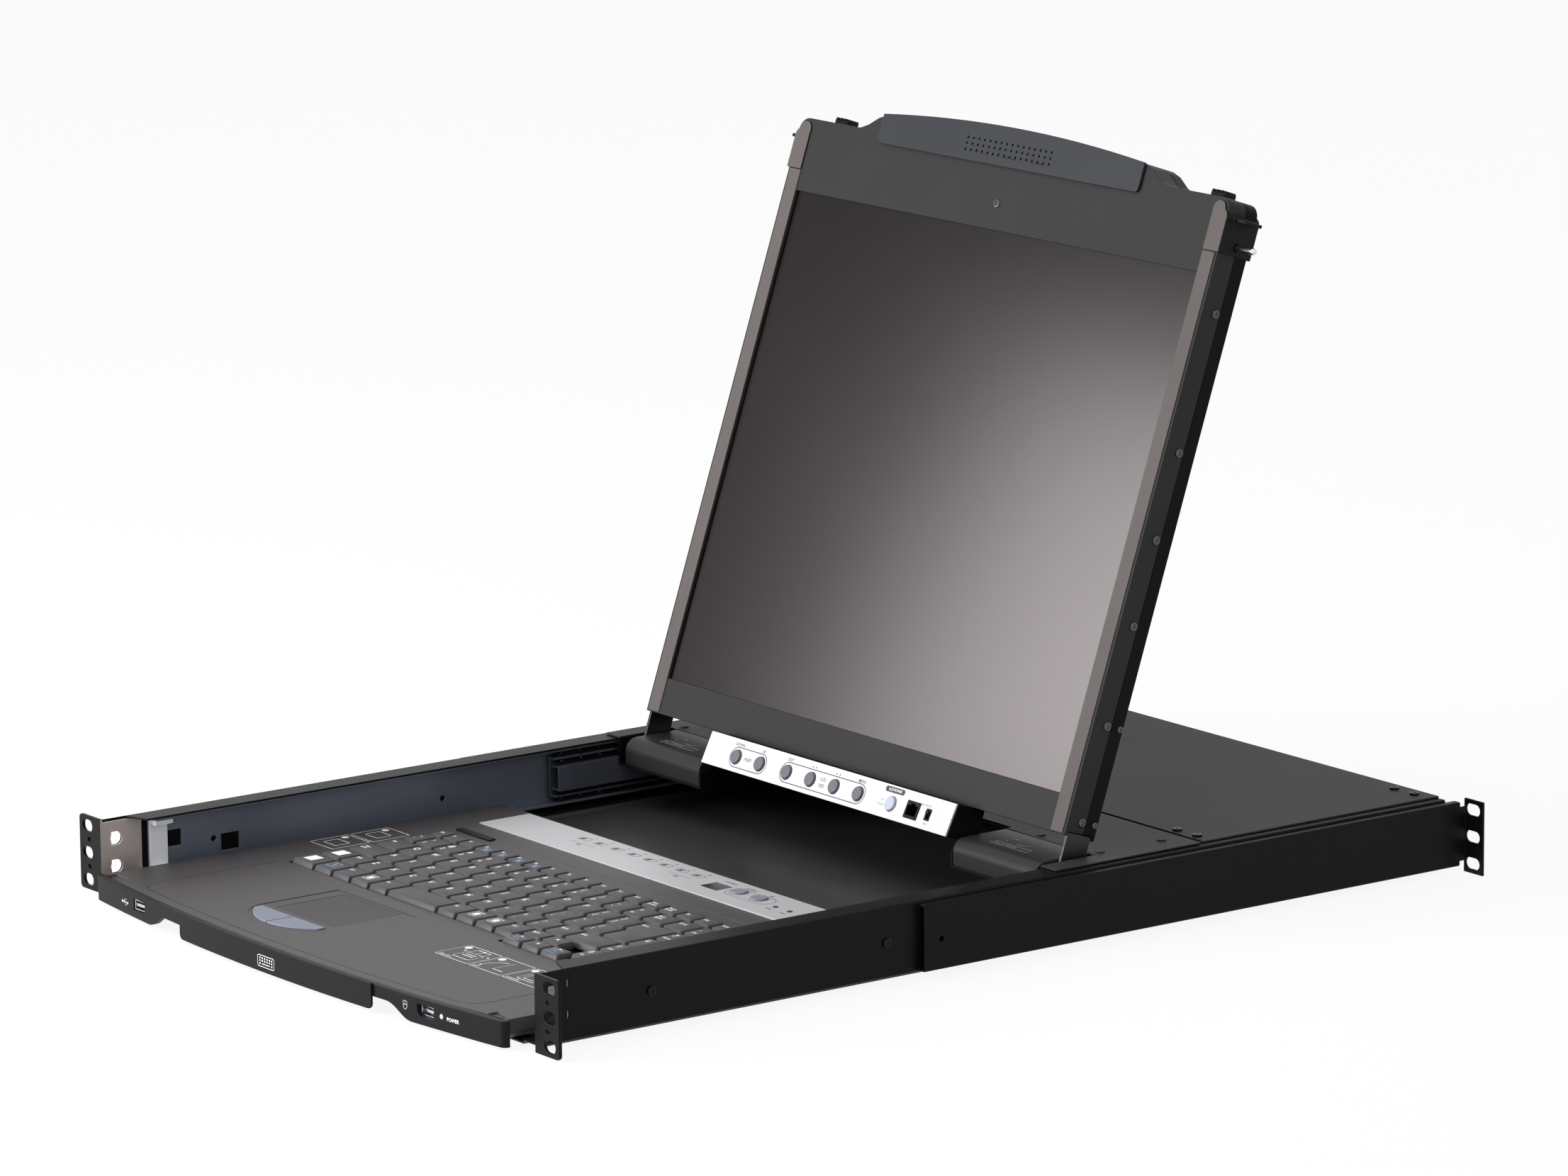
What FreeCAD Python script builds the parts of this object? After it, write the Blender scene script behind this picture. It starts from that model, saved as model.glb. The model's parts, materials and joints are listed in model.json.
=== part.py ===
import FreeCAD, Part
import math
import os

import Sketcher

# Rack console drawer: a one-unit drawer with a sliding keyboard tray and a sliding carriage that
# carries a folding screen. The frame is the rack's: X across, Y to the rear, Z up, with the origin
# in the middle of the front ears' slots, on the face that lies against the rack posts.

Vector = FreeCAD.Vector
doc = FreeCAD.newDocument("ConsoleDrawer")
sheet = doc.addObject("Spreadsheet::Sheet", "Size")

# Driving sizes in millimetres, angles in degrees.
SIZES = {
    # rack interface
    "rackWidth": 482.6,
    "slotEdge": 17.5,
    "slotPitch": 15.875,
    "earHeight": 43.6,
    "earSheet": 2.0,
    "earReturn": 28.0,
    "earReturnSheet": 1.0,
    "slotLength": 10.3,
    "slotWidth": 7.0,
    "smallHoleEdge": 21.0,
    "smallHoleWidth": 3.0,
    "latchHoleHeight": 7.8,
    "latchHoleWidth": 7.3,
    "latchHoleDrop": 16.5,
    "slitFront": 19.7,
    "slitWidth": 1.2,
    "slitLength": 4.4,
    "slitHigh": 11.0,
    "slitLow": -6.2,
    # side channels
    "earOut": 20.3,
    "channelSheet": 1.2,
    "channelTop": 21.4,
    "channelBottom": -18.5,
    "channelFlange": 16.0,
    "channelRear": 636.0,
    "flangeFront": 20.0,
    # rear brackets
    "rackDepth": 648.2,
    "bracketFront": 254.0,
    "bracketOut": 5.5,
    "bracketSheet": 1.5,
    "bracketTop": 20.0,
    "bracketBottom": -18.0,
    "rearSlotLength": 12.0,
    "rearSlotWidth": 6.7,
    # bottom pan
    "panSheet": 1.2,
    "panDrop": 1.6,
    "joggleSide": 2.0,
    "panSide": 0.8,
    "panFront": 4.0,
    # telescopic slides of the screen carriage
    "slideMiddle": 2.5,
    "slideHalf": 17.0,
    "slideDepth": 11.0,
    "slideSheet": 1.6,
    "slideFront": 32.0,
    "slideRear": 632.0,
    "railFront": 310.0,
    "railSheet": 1.4,
    "middleHalf": 12.2,
    "middleDepth": 6.6,
    "middleOut": 3.0,
    "innerHalf": 7.6,
    "innerDepth": 8.3,
    "ballWidth": 2.8,
    "ballPitch": 14.0,
    "bumperLength": 12.0,
    # telescopic slides of the keyboard tray
    "trayRailSide": 17.0,
    "trayRailWidth": 14.0,
    "trayRailFront": 15.0,
    "trayRailRear": 265.0,
    "trayRailWall": 1.0,
    "trayRailFloor": 0.8,
    "trayRailHeight": 4.1,
    # rear box
    "boxSide": 1.2,
    "boxFront": 462.0,
    "boxWall": 1.2,
    "lidSide": 4.5,
    "lidSheet": 1.2,
    "lidFront": 460.0,
    # screen carriage
    "carriageSide": 15.6,
    "carriageWall": 1.2,
    "carriageFront": 353.5,
    "carriageRear": 458.0,
    "carriageFloor": 5.5,
    "carriageTop": 21.7,
    "carriageLidSide": 2.8,
    "carriageLidFront": 392.5,
    "recessHalf": 121.0,
    "recessRear": 395.0,
    "armSlotInside": 0.7,
    "armSlotOutside": 2.1,
    "coverPlay": 1.5,
    "coverSide": 3.5,
    "coverRear": 392.0,
    "coverWall": 1.5,
    "coverRound": 8.0,
    "pivotY": 376.0,
    "pivotZ": 10.0,
    "pinWidth": 6.0,
    "pinPlay": 0.05,
    # screen head
    "tilt": 19.0,
    "headSide": 3.2,
    "headBottom": 24.0,
    "headShoulder": 391.0,
    "headTop": 401.2,
    "headCrown": 4.8,
    "headFront": -12.5,
    "headSeam": 0.8,
    "headRear": 9.5,
    "headWall": 2.0,
    "screenPlay": 0.25,
    "screenBottom": 46.0,
    "screenHeight": 301.1,
    "glassSheet": 1.2,
    "stripWidth": 10.6,
    "stripOutside": 2.0,
    "stripTop": 359.6,
    "capBottom": 360.0,
    "capTop": 389.0,
    "handleHalf": 122.0,
    "handleBottom": 384.0,
    "handleProud": 2.0,
    "holePitchX": 5.2,
    "holePitchZ": 3.5,
    "holeWidth": 1.4,
    "armSheet": 2.0,
    "armSide": 2.5,
    "armFront": -10.0,
    "armRear": 7.0,
    "armLug": 7.0,
    "armPlate": 74.0,
    "latchHeight": 365.0,
    "latchDepth": -0.5,
    "latchWidth": 4.0,
    "latchSide": 1.5,
    "thumbSide": 25.0,
    # control panel under the screen
    "panelHalf": 117.7,
    "panelLean": 7.3,
    "panelHeight": 19.6,
    "panelBottom": 4.4,
    "panelFront": -25.8,
    "panelDepth": 22.5,
    "panelWall": 1.5,
    "panelFace": 1.2,
    "panelButton": 8.6,
    "panelButtonRise": 8.8,
    # keyboard tray
    "traySide": 1.2,
    "trayRear": 268.0,
    "trayTop": -6.0,
    "traySheet": 2.0,
    "trayFloor": -18.0,
    "trayStep": -14.6,
    "trayPanSheet": 1.0,
    "bezelOver": 3.0,
    "bezelSide": -11.0,
    "bezelBow": 14.0,
    "bezelDepth": 4.0,
    "bezelBottom": -20.6,
    "gripHalf": 97.0,
    "gripBottom": -20.0,
    "gripTop": -5.2,
    "gripSheet": 1.5,
    "bowSeam": 0.15,
    "keysLeft": -163.0,
    "keyPitch": 18.9,
    "padPitch": 17.9,
    "keysFront": 91.5,
    "keyGap": 1.2,
    "keyTop": -3.6,
    "keyBody": 4.1,
    "deckTop": -10.0,
    "functionDepth": 12.6,
    "arrowDepth": 12.0,
    "stripHalf": 171.0,
    "stripFront": 230.0,
    "stripRear": 265.6,
    "stripSheet": 0.7,
    "touchLeft": -85.5,
    "touchRight": -20.5,
    "padLeft": -79.0,
    "padRight": -21.0,
    "padFront": 30.0,
    "padRear": 75.0,
    "touchFront": 19.0,
    "touchRear": 24.2,
    "touchBow": 13.2,
    "portReach": 145.5,
    "portShift": 3.5,
    "portMiddle": -12.7,
    "lampReach": 155.3,
    # clearances
    "play": 0.3,
    "ballPlay": 0.2,
    "screwHead": 5.6,
    "screwRise": 1.2,
}


# A length of the model: its value, and the expression that gives it from the sheet.
class Dim:
    def __init__(self, value, text):
        self.value = value
        self.text = text

    def __add__(self, other):
        other = dim(other)
        return Dim(self.value + other.value, f"({self.text} + {other.text})")

    def __radd__(self, other):
        return dim(other) + self

    def __sub__(self, other):
        other = dim(other)
        return Dim(self.value - other.value, f"({self.text} - {other.text})")

    def __rsub__(self, other):
        return dim(other) - self

    def __mul__(self, factor):
        factor = dim(factor)
        return Dim(self.value * factor.value, f"({self.text} * {factor.text})")

    def __rmul__(self, factor):
        return dim(factor) * self

    def __truediv__(self, other):
        other = dim(other)
        return Dim(self.value / other.value, f"({self.text} / {other.text})")

    def __neg__(self):
        return Dim(-self.value, f"(0 - {self.text})")


def dim(size):
    return size if isinstance(size, Dim) else Dim(float(size), f"({size:.6f})")


def turned(size, function, angle):
    factor = getattr(math, function)(math.radians(angle.value))
    return Dim(size.value * factor, f"({size.text} * {function}({angle.text} * 1 deg))")


class Sizes:
    def __init__(self, table):
        for row, (alias, value) in enumerate(table.items(), start=1):
            sheet.set(f"A{row}", alias)
            sheet.set(f"B{row}", str(value))
            sheet.setAlias(f"B{row}", alias)
            setattr(self, alias, Dim(value, f"Size.{alias}"))


S = Sizes(SIZES)
doc.recompute()
nodes = []

# Widths that follow the rack's width, each by its own gap.
S.slotSpan = S.rackWidth - S.slotEdge
S.smallHoleSpan = S.rackWidth - S.smallHoleEdge
S.channelHalf = S.rackWidth / 2 - S.earOut
channel_inner = S.channelHalf - S.channelSheet
S.panHalf = channel_inner - S.panSide
S.lidHalf = channel_inner - S.lidSide
S.carriageLidHalf = channel_inner - S.carriageLidSide
S.latchReach = channel_inner - S.latchSide
S.carriageHalf = channel_inner - S.carriageSide
S.panJoggle = S.carriageHalf - S.joggleSide
S.boxHalf = S.carriageHalf - S.boxSide
S.trayHalf = S.carriageHalf - S.traySide
S.bezelHalf = S.trayHalf + S.bezelOver
S.trayRailInner = S.trayHalf - S.trayRailSide
S.headHalf = S.carriageHalf - S.headSide
S.armInner = S.headHalf - S.armSide
S.armSlotInner = S.armInner - S.armSlotInside
S.armSlotOuter = S.armInner + S.armSheet + S.armSlotOutside
S.coverOuter = S.headHalf - S.coverSide
S.coverInner = S.recessHalf + S.coverPlay
S.stripOuter = S.headHalf - S.stripOutside
S.stripInner = S.stripOuter - S.stripWidth
S.screenHalf = S.stripInner - S.screenPlay
S.thumbMiddle = S.headHalf - S.thumbSide

# The hinge pin lies just over the carriage floor.
S.pivotZ = S.carriageFloor + S.carriageWall + S.pinWidth / 2 + S.play


# ---------------------------------------------------------------- solids bound to the sheet
def bind(thing, path, size):
    thing.setExpression(path, dim(size).text)


def place(thing, x, y, z):
    bind(thing, "Placement.Base.x", x)
    bind(thing, "Placement.Base.y", y)
    bind(thing, "Placement.Base.z", z)


def box(x, y, z):
    solid = doc.addObject("Part::Box", "Block")
    bind(solid, "Length", x[1] - x[0])
    bind(solid, "Width", y[1] - y[0])
    bind(solid, "Height", z[1] - z[0])
    place(solid, x[0], y[0], z[0])
    return solid


# A round bar along X, Y or Z from low to high; the centre's other two coordinates are given.
def bar(axis, centre, radius, low, high):
    solid = doc.addObject("Part::Cylinder", "Bar")
    turns = {"X": (Vector(0, 1, 0), 90), "Y": (Vector(1, 0, 0), -90), "Z": (Vector(0, 0, 1), 0)}
    solid.Placement = FreeCAD.Placement(Vector(), FreeCAD.Rotation(*turns[axis]))
    bind(solid, "Radius", radius)
    bind(solid, "Height", dim(high) - low)
    starts = {
        "X": (low, centre[0], centre[1]),
        "Y": (centre[0], low, centre[1]),
        "Z": (centre[0], centre[1], low),
    }
    place(solid, *starts[axis])
    return solid


def ball(x, y, z, radius):
    solid = doc.addObject("Part::Sphere", "Ball")
    bind(solid, "Radius", radius)
    place(solid, x, y, z)
    return solid


def fuse(*solids):
    joined = doc.addObject("Part::MultiFuse", "Fuse")
    joined.Shapes = list(solids)
    return joined


def cut(base, *tools):
    carved = doc.addObject("Part::Cut", "Cut")
    carved.Base = base
    carved.Tool = tools[0] if len(tools) == 1 else group(*tools)
    return carved


def group(*solids):
    made = doc.addObject("Part::Compound", "Group")
    made.Links = list(solids)
    return made


def mirror(solid):
    copy = doc.addObject("Part::Mirroring", "Mirror")
    copy.Source = solid
    copy.Normal = Vector(1, 0, 0)
    return copy


def both(solid):
    return [solid, mirror(solid)]


# The bend of an outline from one point to the next: an arc that stands out by rise, to the right of
# the way along the outline, or to its left when rise is negative.
class Bow:
    def __init__(self, rise):
        self.rise = dim(rise)


# An outline padded along the normal of XY, XZ or YZ, from low to high. Points may be followed by a
# Bow, and rounds gives a fillet radius to the corners that are listed by number.
def prism(plane, outline, low, high, rounds=None):
    points = [step for step in outline if not isinstance(step, Bow)]
    bows = {}
    for place_in_list, step in enumerate(outline):
        if isinstance(step, Bow):
            before = sum(1 for item in outline[:place_in_list] if not isinstance(item, Bow))
            bows[before - 1] = step
    body = doc.addObject("PartDesign::Body", "Body")
    sketch = body.newObject("Sketcher::SketchObject", "Outline")
    sketch.AttachmentSupport = [(origin_plane(body, plane), "")]
    sketch.MapMode = "FlatFace"
    start = -dim(high) if plane == "XZ" else dim(low)
    bind(sketch, "AttachmentOffset.Base.z", start)
    corners = [(dim(u), dim(v)) for u, v in points]
    for number, (u, v) in enumerate(corners):
        draw_side(sketch, (u, v), corners[(number + 1) % len(corners)], bows.get(number))
    tie_sides(sketch, corners, bows)
    pad = body.newObject("PartDesign::Pad", "Pad")
    pad.Profile = sketch
    bind(pad, "Length", dim(high) - low)
    if rounds:
        round_corners(body, pad, plane, corners, rounds)
    return body


def origin_plane(body, plane):
    return [part for part in body.Origin.OriginFeatures if part.Role == f"{plane}_Plane"][0]


def draw_side(sketch, start, end, bow):
    a = Vector(start[0].value, start[1].value, 0)
    b = Vector(end[0].value, end[1].value, 0)
    if bow is None:
        sketch.addGeometry(Part.LineSegment(a, b), False)
        return
    along = (b - a).normalize()
    middle = (a + b) * 0.5 + Vector(along.y, -along.x, 0) * bow.rise.value
    ends = (a, b) if bow.rise.value > 0 else (b, a)
    sketch.addGeometry(Part.Arc(ends[0], middle, ends[1]), False)


# Which end of a side (1 or 2 in the sketcher) lies on a corner.
def end_at(sketch, side, corner):
    at = Vector(corner[0].value, corner[1].value, 0)
    shape = sketch.Geometry[side]
    return 1 if shape.StartPoint.distanceToPoint(at) < shape.EndPoint.distanceToPoint(at) else 2


def tie_sides(sketch, corners, bows):
    count = len(corners)
    for number, (u, v) in enumerate(corners):
        mine = end_at(sketch, number, (u, v))
        last = (number - 1) % count
        theirs = end_at(sketch, last, (u, v))
        sketch.addConstraint(Sketcher.Constraint("Coincident", last, theirs, number, mine))
        for kind, size in (("DistanceX", u), ("DistanceY", v)):
            tie = sketch.addConstraint(Sketcher.Constraint(kind, -1, 1, number, mine, size.value))
            bind(sketch, f"Constraints[{tie}]", size)
    for number, bow in bows.items():
        u, v = corners[number]
        w, x = corners[(number + 1) % count]
        chord = (w - u) * (w - u) + (x - v) * (x - v)
        radius = (chord / 4 + bow.rise * bow.rise) / (bow.rise * 2)
        if radius.value < 0:
            radius = -radius
        tie = sketch.addConstraint(Sketcher.Constraint("Radius", number, radius.value))
        bind(sketch, f"Constraints[{tie}]", radius)


def round_corners(body, pad, plane, corners, rounds):
    feature = pad
    for radius in {size.text: size for size in map(dim, rounds.values())}.values():
        doc.recompute([body])
        picked = []
        for number, size in rounds.items():
            if dim(size).text == radius.text:
                picked.append(edge_at(feature, plane, corners[number]))
        fillet = body.newObject("PartDesign::Fillet", "Round")
        fillet.Base = (feature, picked)
        bind(fillet, "Radius", radius)
        feature = fillet
    body.Tip = feature


def edge_at(feature, plane, corner):
    u, v = corner[0].value, corner[1].value
    for number, edge in enumerate(feature.Shape.Edges, start=1):
        near = True
        for vertex in edge.Vertexes:
            across = {"XY": (vertex.X, vertex.Y), "XZ": (vertex.X, vertex.Z), "YZ": (vertex.Y, vertex.Z)}
            near = near and math.dist(across[plane], (u, v)) < 0.001
        if near and len(edge.Vertexes) == 2:
            return f"Edge{number}"
    raise ValueError(f"no edge at {u}, {v}")


def keep(label, *solids):
    made = solids[0] if len(solids) == 1 and solids[0].TypeId == "Part::Compound" else group(*solids)
    made.Label = label
    nodes.append(made)
    return made


# A node drawn upright in the screen head's own frame, turned back about the hinge.
def keep_on_head(label, *solids):
    made = keep(label, *solids)
    made.Placement = FreeCAD.Placement(Vector(), FreeCAD.Rotation(Vector(1, 0, 0), -S.tilt.value))
    place(made, 0, S.pivotY, S.pivotZ)
    made.setExpression("Placement.Rotation.Angle", "-Size.tilt * 1 deg")
    return made


# A node drawn in the control panel's frame: Y into the panel, Z up its leaning face.
def keep_on_panel(label, *solids):
    made = keep(label, *solids)
    lean = S.tilt.value + S.panelLean.value
    made.Placement = FreeCAD.Placement(Vector(), FreeCAD.Rotation(Vector(1, 0, 0), -lean))
    back = turned(S.panelFront, "cos", S.tilt) + turned(S.panelBottom, "sin", S.tilt)
    up = turned(S.panelBottom, "cos", S.tilt) - turned(S.panelFront, "sin", S.tilt)
    place(made, 0, S.pivotY + back, S.pivotZ + up)
    made.setExpression("Placement.Rotation.Angle", "-(Size.tilt + Size.panelLean) * 1 deg")
    return made


# A rack slot: a rounded slot along X through a plate, centred on x, z.
def slot(x, z, length, width, low, high):
    reach = (length - width) / 2
    return fuse(
        box((x - reach, x + reach), (low, high), (z - width / 2, z + width / 2)),
        bar("Y", (x - reach, z), width / 2, low, high),
        bar("Y", (x + reach, z), width / 2, low, high),
    )


def channel_section(inner, outer, bottom, top, sheet_size, opens):
    # A C of one sheet thickness; it opens towards -X ("in") or +X ("out").
    if opens == "in":
        hollow = (inner, outer - sheet_size)
    else:
        hollow = (inner + sheet_size, outer)
    mouth, web = (hollow[0], hollow[1]) if opens == "in" else (hollow[1], hollow[0])
    back = outer if opens == "in" else inner
    return [
        (mouth, bottom),
        (back, bottom),
        (back, top),
        (mouth, top),
        (mouth, top - sheet_size),
        (web, top - sheet_size),
        (web, bottom + sheet_size),
        (mouth, bottom + sheet_size),
    ]


past = 1.0


# ---------------------------------------------------------------- chassis
def side_channels():
    section = channel_section(
        S.channelHalf - S.channelFlange, S.channelHalf, S.channelBottom, S.channelTop, S.channelSheet, "in"
    )
    wall = prism("XZ", section, S.earSheet, S.channelRear, {1: S.channelSheet, 2: S.channelSheet})
    flange_edge = S.channelHalf - S.channelFlange
    mouth = prism(
        "XY",
        [
            (flange_edge - past, S.earSheet - past),
            (channel_inner, S.earSheet - past),
            (channel_inner, S.flangeFront - 2),
            (flange_edge - past, S.flangeFront + 4),
        ],
        S.channelTop - S.channelSheet - past,
        S.channelTop + past,
    )
    slits = []
    for height in (S.slitHigh, S.slitLow):
        across = (channel_inner - past, S.channelHalf + past)
        along = (S.slitFront, S.slitFront + S.slitWidth)
        slits.append(box(across, along, (height, height + S.slitLength)))
    catches = [latch_hole(latch_z), latch_hole(latch_z - S.latchHoleDrop)]
    keep("side_channels", *both(cut(wall, mouth, *slits, *catches)))


latch_y = S.pivotY - S.latchHeight
latch_z = S.pivotZ + S.latchDepth


def front_ears():
    half = S.earHeight / 2
    return_face = channel_inner - S.earReturnSheet
    plate = box((return_face, S.rackWidth / 2), (0, S.earSheet), (-half, half))
    web = box(
        (return_face, channel_inner),
        (S.earSheet, S.earReturn),
        (S.channelBottom + 1.5, S.channelTop - 1.5),
    )
    tools = []
    for step in (-1, 0, 1):
        tools.append(
            slot(S.slotSpan / 2, S.slotPitch * step, S.slotLength, S.slotWidth, -past, S.earSheet + past)
        )
    for side in (-0.5, 0.5):
        centre = (S.smallHoleSpan / 2, S.slotPitch * side)
        tools.append(bar("Y", centre, S.smallHoleWidth / 2, -past, S.earSheet + past))
    tools += [latch_hole(latch_z), latch_hole(latch_z - S.latchHoleDrop)]
    keep("front_ears", *both(cut(fuse(plate, web), *tools)))


# A D-shaped hole through the ear's return and the channel, where a latch pin catches when the screen is folded.
def latch_hole(z):
    half = S.latchHoleHeight / 2
    across = (channel_inner - S.earReturnSheet - past, S.channelHalf + past)
    flat = latch_y - (S.latchHoleWidth - half)
    return fuse(box(across, (flat, latch_y), (z - half, z + half)), bar("X", (latch_y, z), half, *across))


def bottom_pan():
    floor = S.channelBottom - S.panSheet - S.panDrop
    low = S.channelBottom - S.panSheet
    bend = S.panJoggle + S.panDrop
    right = [
        (S.panJoggle, floor),
        (bend, low),
        (S.panHalf, low),
        (S.panHalf, S.channelBottom),
        (bend - S.panSheet / 2, S.channelBottom),
        (S.panJoggle - S.panSheet / 2, floor + S.panSheet),
    ]
    left = [(-x, z) for x, z in reversed(right)]
    keep("bottom_pan", prism("XZ", right + left, S.panFront, S.channelRear))


slide_top = S.slideMiddle + S.slideHalf
slide_low = S.slideMiddle - S.slideHalf
slide_lip = channel_inner - S.slideDepth


def slide_window(start, length, low, high):
    across = (channel_inner - S.slideSheet - past, channel_inner + past)
    front = S.slideFront + start
    return box(across, (front, front + length), (S.slideMiddle + low, S.slideMiddle + high))


def slide_outers():
    section = channel_section(slide_lip, channel_inner, slide_low, slide_top, S.slideSheet, "in")
    rail = prism("XZ", section, S.slideFront, S.slideRear)
    across = (channel_inner - S.slideSheet - past, channel_inner + past)
    tools = [
        slide_window(S.bumperLength, 10.2, -3.4, 6.2),
        slide_window(49.4, 12.2, -11.2, -1.2),
        bar("X", (S.slideFront + 204, S.slideMiddle - 3.1), 1.8, *across),
        bar("X", (S.slideFront + 44.2, S.slideMiddle - 3.1), 1.8, *across),
    ]
    keep("slide_outers", *both(cut(rail, *tools)))


# End stops in the front of the outer members, clear of the two inner members' path.
def slide_bumpers():
    face = channel_inner - S.slideSheet
    inside = S.slideHalf - S.slideSheet
    block = box(
        (face - 2.0, face),
        (S.slideFront, S.slideFront + S.bumperLength),
        (S.slideMiddle - inside, S.slideMiddle + inside),
    )
    ends = []
    lip = S.slideHalf - S.slideSheet - S.ballWidth - S.ballPlay * 2 + S.play
    for low, high in ((lip, inside), (-inside, -lip)):
        ends.append(
            box(
                (slide_lip + 1, face - 2.0),
                (S.slideFront, S.slideFront + S.bumperLength),
                (S.slideMiddle + low, S.slideMiddle + high),
            )
        )
    keep("slide_bumpers", *both(fuse(block, *ends)))


pan_top = S.channelBottom - S.panDrop


def keyboard_rails():
    outer = S.trayRailInner + S.trayRailWidth
    section = trough(S.trayRailInner, outer, pan_top, pan_top + S.trayRailHeight)
    keep("keyboard_rails", *both(prism("XZ", section, S.trayRailFront, S.trayRailRear)))


# A U that opens upwards.
def trough(inner, outer, floor, top):
    return [
        (inner, floor),
        (outer, floor),
        (outer, top),
        (outer - S.trayRailWall, top),
        (outer - S.trayRailWall, floor + S.trayRailFloor),
        (inner + S.trayRailWall, floor + S.trayRailFloor),
        (inner + S.trayRailWall, top),
        (inner, top),
    ]


def rear_box():
    bend = S.panDrop
    right = [(S.panJoggle - 0.8, pan_top), (S.boxHalf, pan_top + bend), (S.boxHalf, S.channelTop)]
    left = [(-x, z) for x, z in reversed(right)]
    outer = prism("XZ", right + left, S.boxFront, S.channelRear)
    inside = box(
        (-S.boxHalf + S.boxWall, S.boxHalf - S.boxWall),
        (S.boxFront + S.boxWall, S.channelRear - S.boxWall),
        (pan_top + S.boxWall, S.channelTop + past),
    )
    vents = []
    for number in range(9):
        left = 92 + number * 9.0
        vents.append(box((left, left + 3.0), (S.channelRear - 4, S.channelRear + past), (-8.0, 12.0)))
    doors = [
        box((x - w / 2, x + w / 2), (S.channelRear - 4, S.channelRear + past), (z - h / 2, z + h / 2))
        for x, z, w, h in REAR_SOCKETS
    ]
    keep("rear_box", cut(outer, inside, *vents, *doors))


# Sockets in the rear wall: middle across, middle height, width, height. The first is the power inlet.
REAR_SOCKETS = [
    (-165.0, -4.0, 27.6, 20.4),
    (-110.0, -6.0, 39.2, 9.4),
    (-62.0, -6.0, 31.0, 9.4),
    (-26.0, -6.0, 13.4, 12.0),
    (-4.0, -6.0, 13.4, 12.0),
    (26.0, -6.0, 16.2, 14.0),
    (54.0, -6.0, 9.2, 11.4),
]
SOCKET_PROUD = 1.5
SOCKET_LENGTH = 14.0


def rear_sockets():
    board_top = pan_top + S.boxWall + 3.2
    board = box(
        (-180.0, 80.0),
        (S.boxFront + 30, S.channelRear - S.boxWall - 1),
        (pan_top + S.boxWall, board_top),
    )
    rear = S.channelRear + SOCKET_PROUD
    chips = []
    for x, y, w, d in ((-120.0, 60.0, 30.0, 30.0), (-40.0, 75.0, 22.0, 22.0), (20.0, 62.0, 14.0, 20.0)):
        chips.append(box((x, x + w), (S.boxFront + y, S.boxFront + y + d), (board_top, board_top + 3)))
    shells = []
    for x, z, w, h in REAR_SOCKETS:
        gap = S.play
        shell = box(
            (x - w / 2 + gap, x + w / 2 - gap),
            (rear - SOCKET_LENGTH, rear),
            (z - h / 2 + gap, z + h / 2 - gap),
        )
        leg = box((x - 4.0, x + 4.0), (rear - SOCKET_LENGTH, rear - SOCKET_LENGTH + 6), (board_top, z))
        wall = 1.6
        mouth = box(
            (x - w / 2 + wall, x + w / 2 - wall),
            (rear - 8, rear + past),
            (z - h / 2 + wall, z + h / 2 - wall),
        )
        shells.append(cut(fuse(shell, leg), mouth))
    keep("rear_sockets", fuse(board, *chips, *shells))


def rear_lid():
    sheet_top = S.channelTop + S.lidSheet
    lid = box((-S.lidHalf, S.lidHalf), (S.lidFront, S.channelRear), (S.channelTop, sheet_top))
    keep("rear_lid", lid)


def screw(axis, centre, face, outward):
    rise = S.screwRise * outward
    low, high = (face, face + rise) if outward > 0 else (face + rise, face)
    head = bar(axis, centre, S.screwHead / 2, low, high)
    socket_low, socket_high = (high - 0.5, high + past) if outward > 0 else (low - past, low + 0.5)
    return cut(head, *cross(axis, centre, socket_low, socket_high))


# The recess of a cross-head screw: two crossed grooves.
def cross(axis, centre, low, high):
    tools = []
    for wide, tall in ((1.5, 0.35), (0.35, 1.5)):
        u = (centre[0] - dim(wide), centre[0] + dim(wide))
        v = (centre[1] - dim(tall), centre[1] + dim(tall))
        spans = {"X": ((low, high), u, v), "Y": (u, (low, high), v), "Z": (u, v, (low, high))}
        tools.append(box(*spans[axis]))
    return [fuse(*tools)]


def chassis_screws():
    heads = []
    lid_top = S.channelTop + S.lidSheet
    for y in (S.lidFront + 5.5, S.channelRear - 8.5):
        for x in (186.0, 203.6):
            heads.append(screw("Z", (dim(x), y), lid_top, 1))
    for y, z in ((74.3, 0.4), (232.2, 1.3), (400.0, 0.8), (560.0, 0.8)):
        heads.append(screw("X", (dim(y), dim(z)), S.channelHalf, 1))
    keep("chassis_screws", *[copy for head in heads for copy in both(head)])


# ---------------------------------------------------------------- rear brackets
def rear_brackets():
    outer = S.channelHalf + S.bracketOut
    inner = S.channelHalf + S.play
    section = channel_section(inner, outer, S.bracketBottom, S.bracketTop, S.bracketSheet, "in")
    arm = prism("XZ", section, S.bracketFront, S.rackDepth - S.bracketSheet, {1: 1.2, 2: 1.2})
    half = S.earHeight / 2
    across = (outer - S.bracketSheet, S.rackWidth / 2)
    ear = box(across, (S.rackDepth - S.bracketSheet, S.rackDepth), (-half, half))
    low, high = S.rackDepth - S.bracketSheet - past, S.rackDepth + past
    tools = []
    for step in (-1, 0, 1):
        centre = S.slotPitch * step
        tools.append(slot(S.slotSpan / 2, centre, S.rearSlotLength, S.rearSlotWidth, low, high))
    web = (outer - S.bracketSheet - past, outer + past)
    tools.append(bar("X", (S.bracketFront + 12, dim(-0.8)), 1.6, *web))
    for z in ((S.bracketTop - 3, S.bracketTop + past), (S.bracketBottom - past, S.bracketBottom + 3)):
        notch = (S.rackDepth - S.bracketSheet - 4, S.rackDepth - S.bracketSheet)
        tools.append(box((inner - past, outer + past), notch, z))
    right = cut(fuse(arm, ear), *tools)
    keep("rear_bracket_right", right)
    keep("rear_bracket_left", mirror(right))


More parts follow.
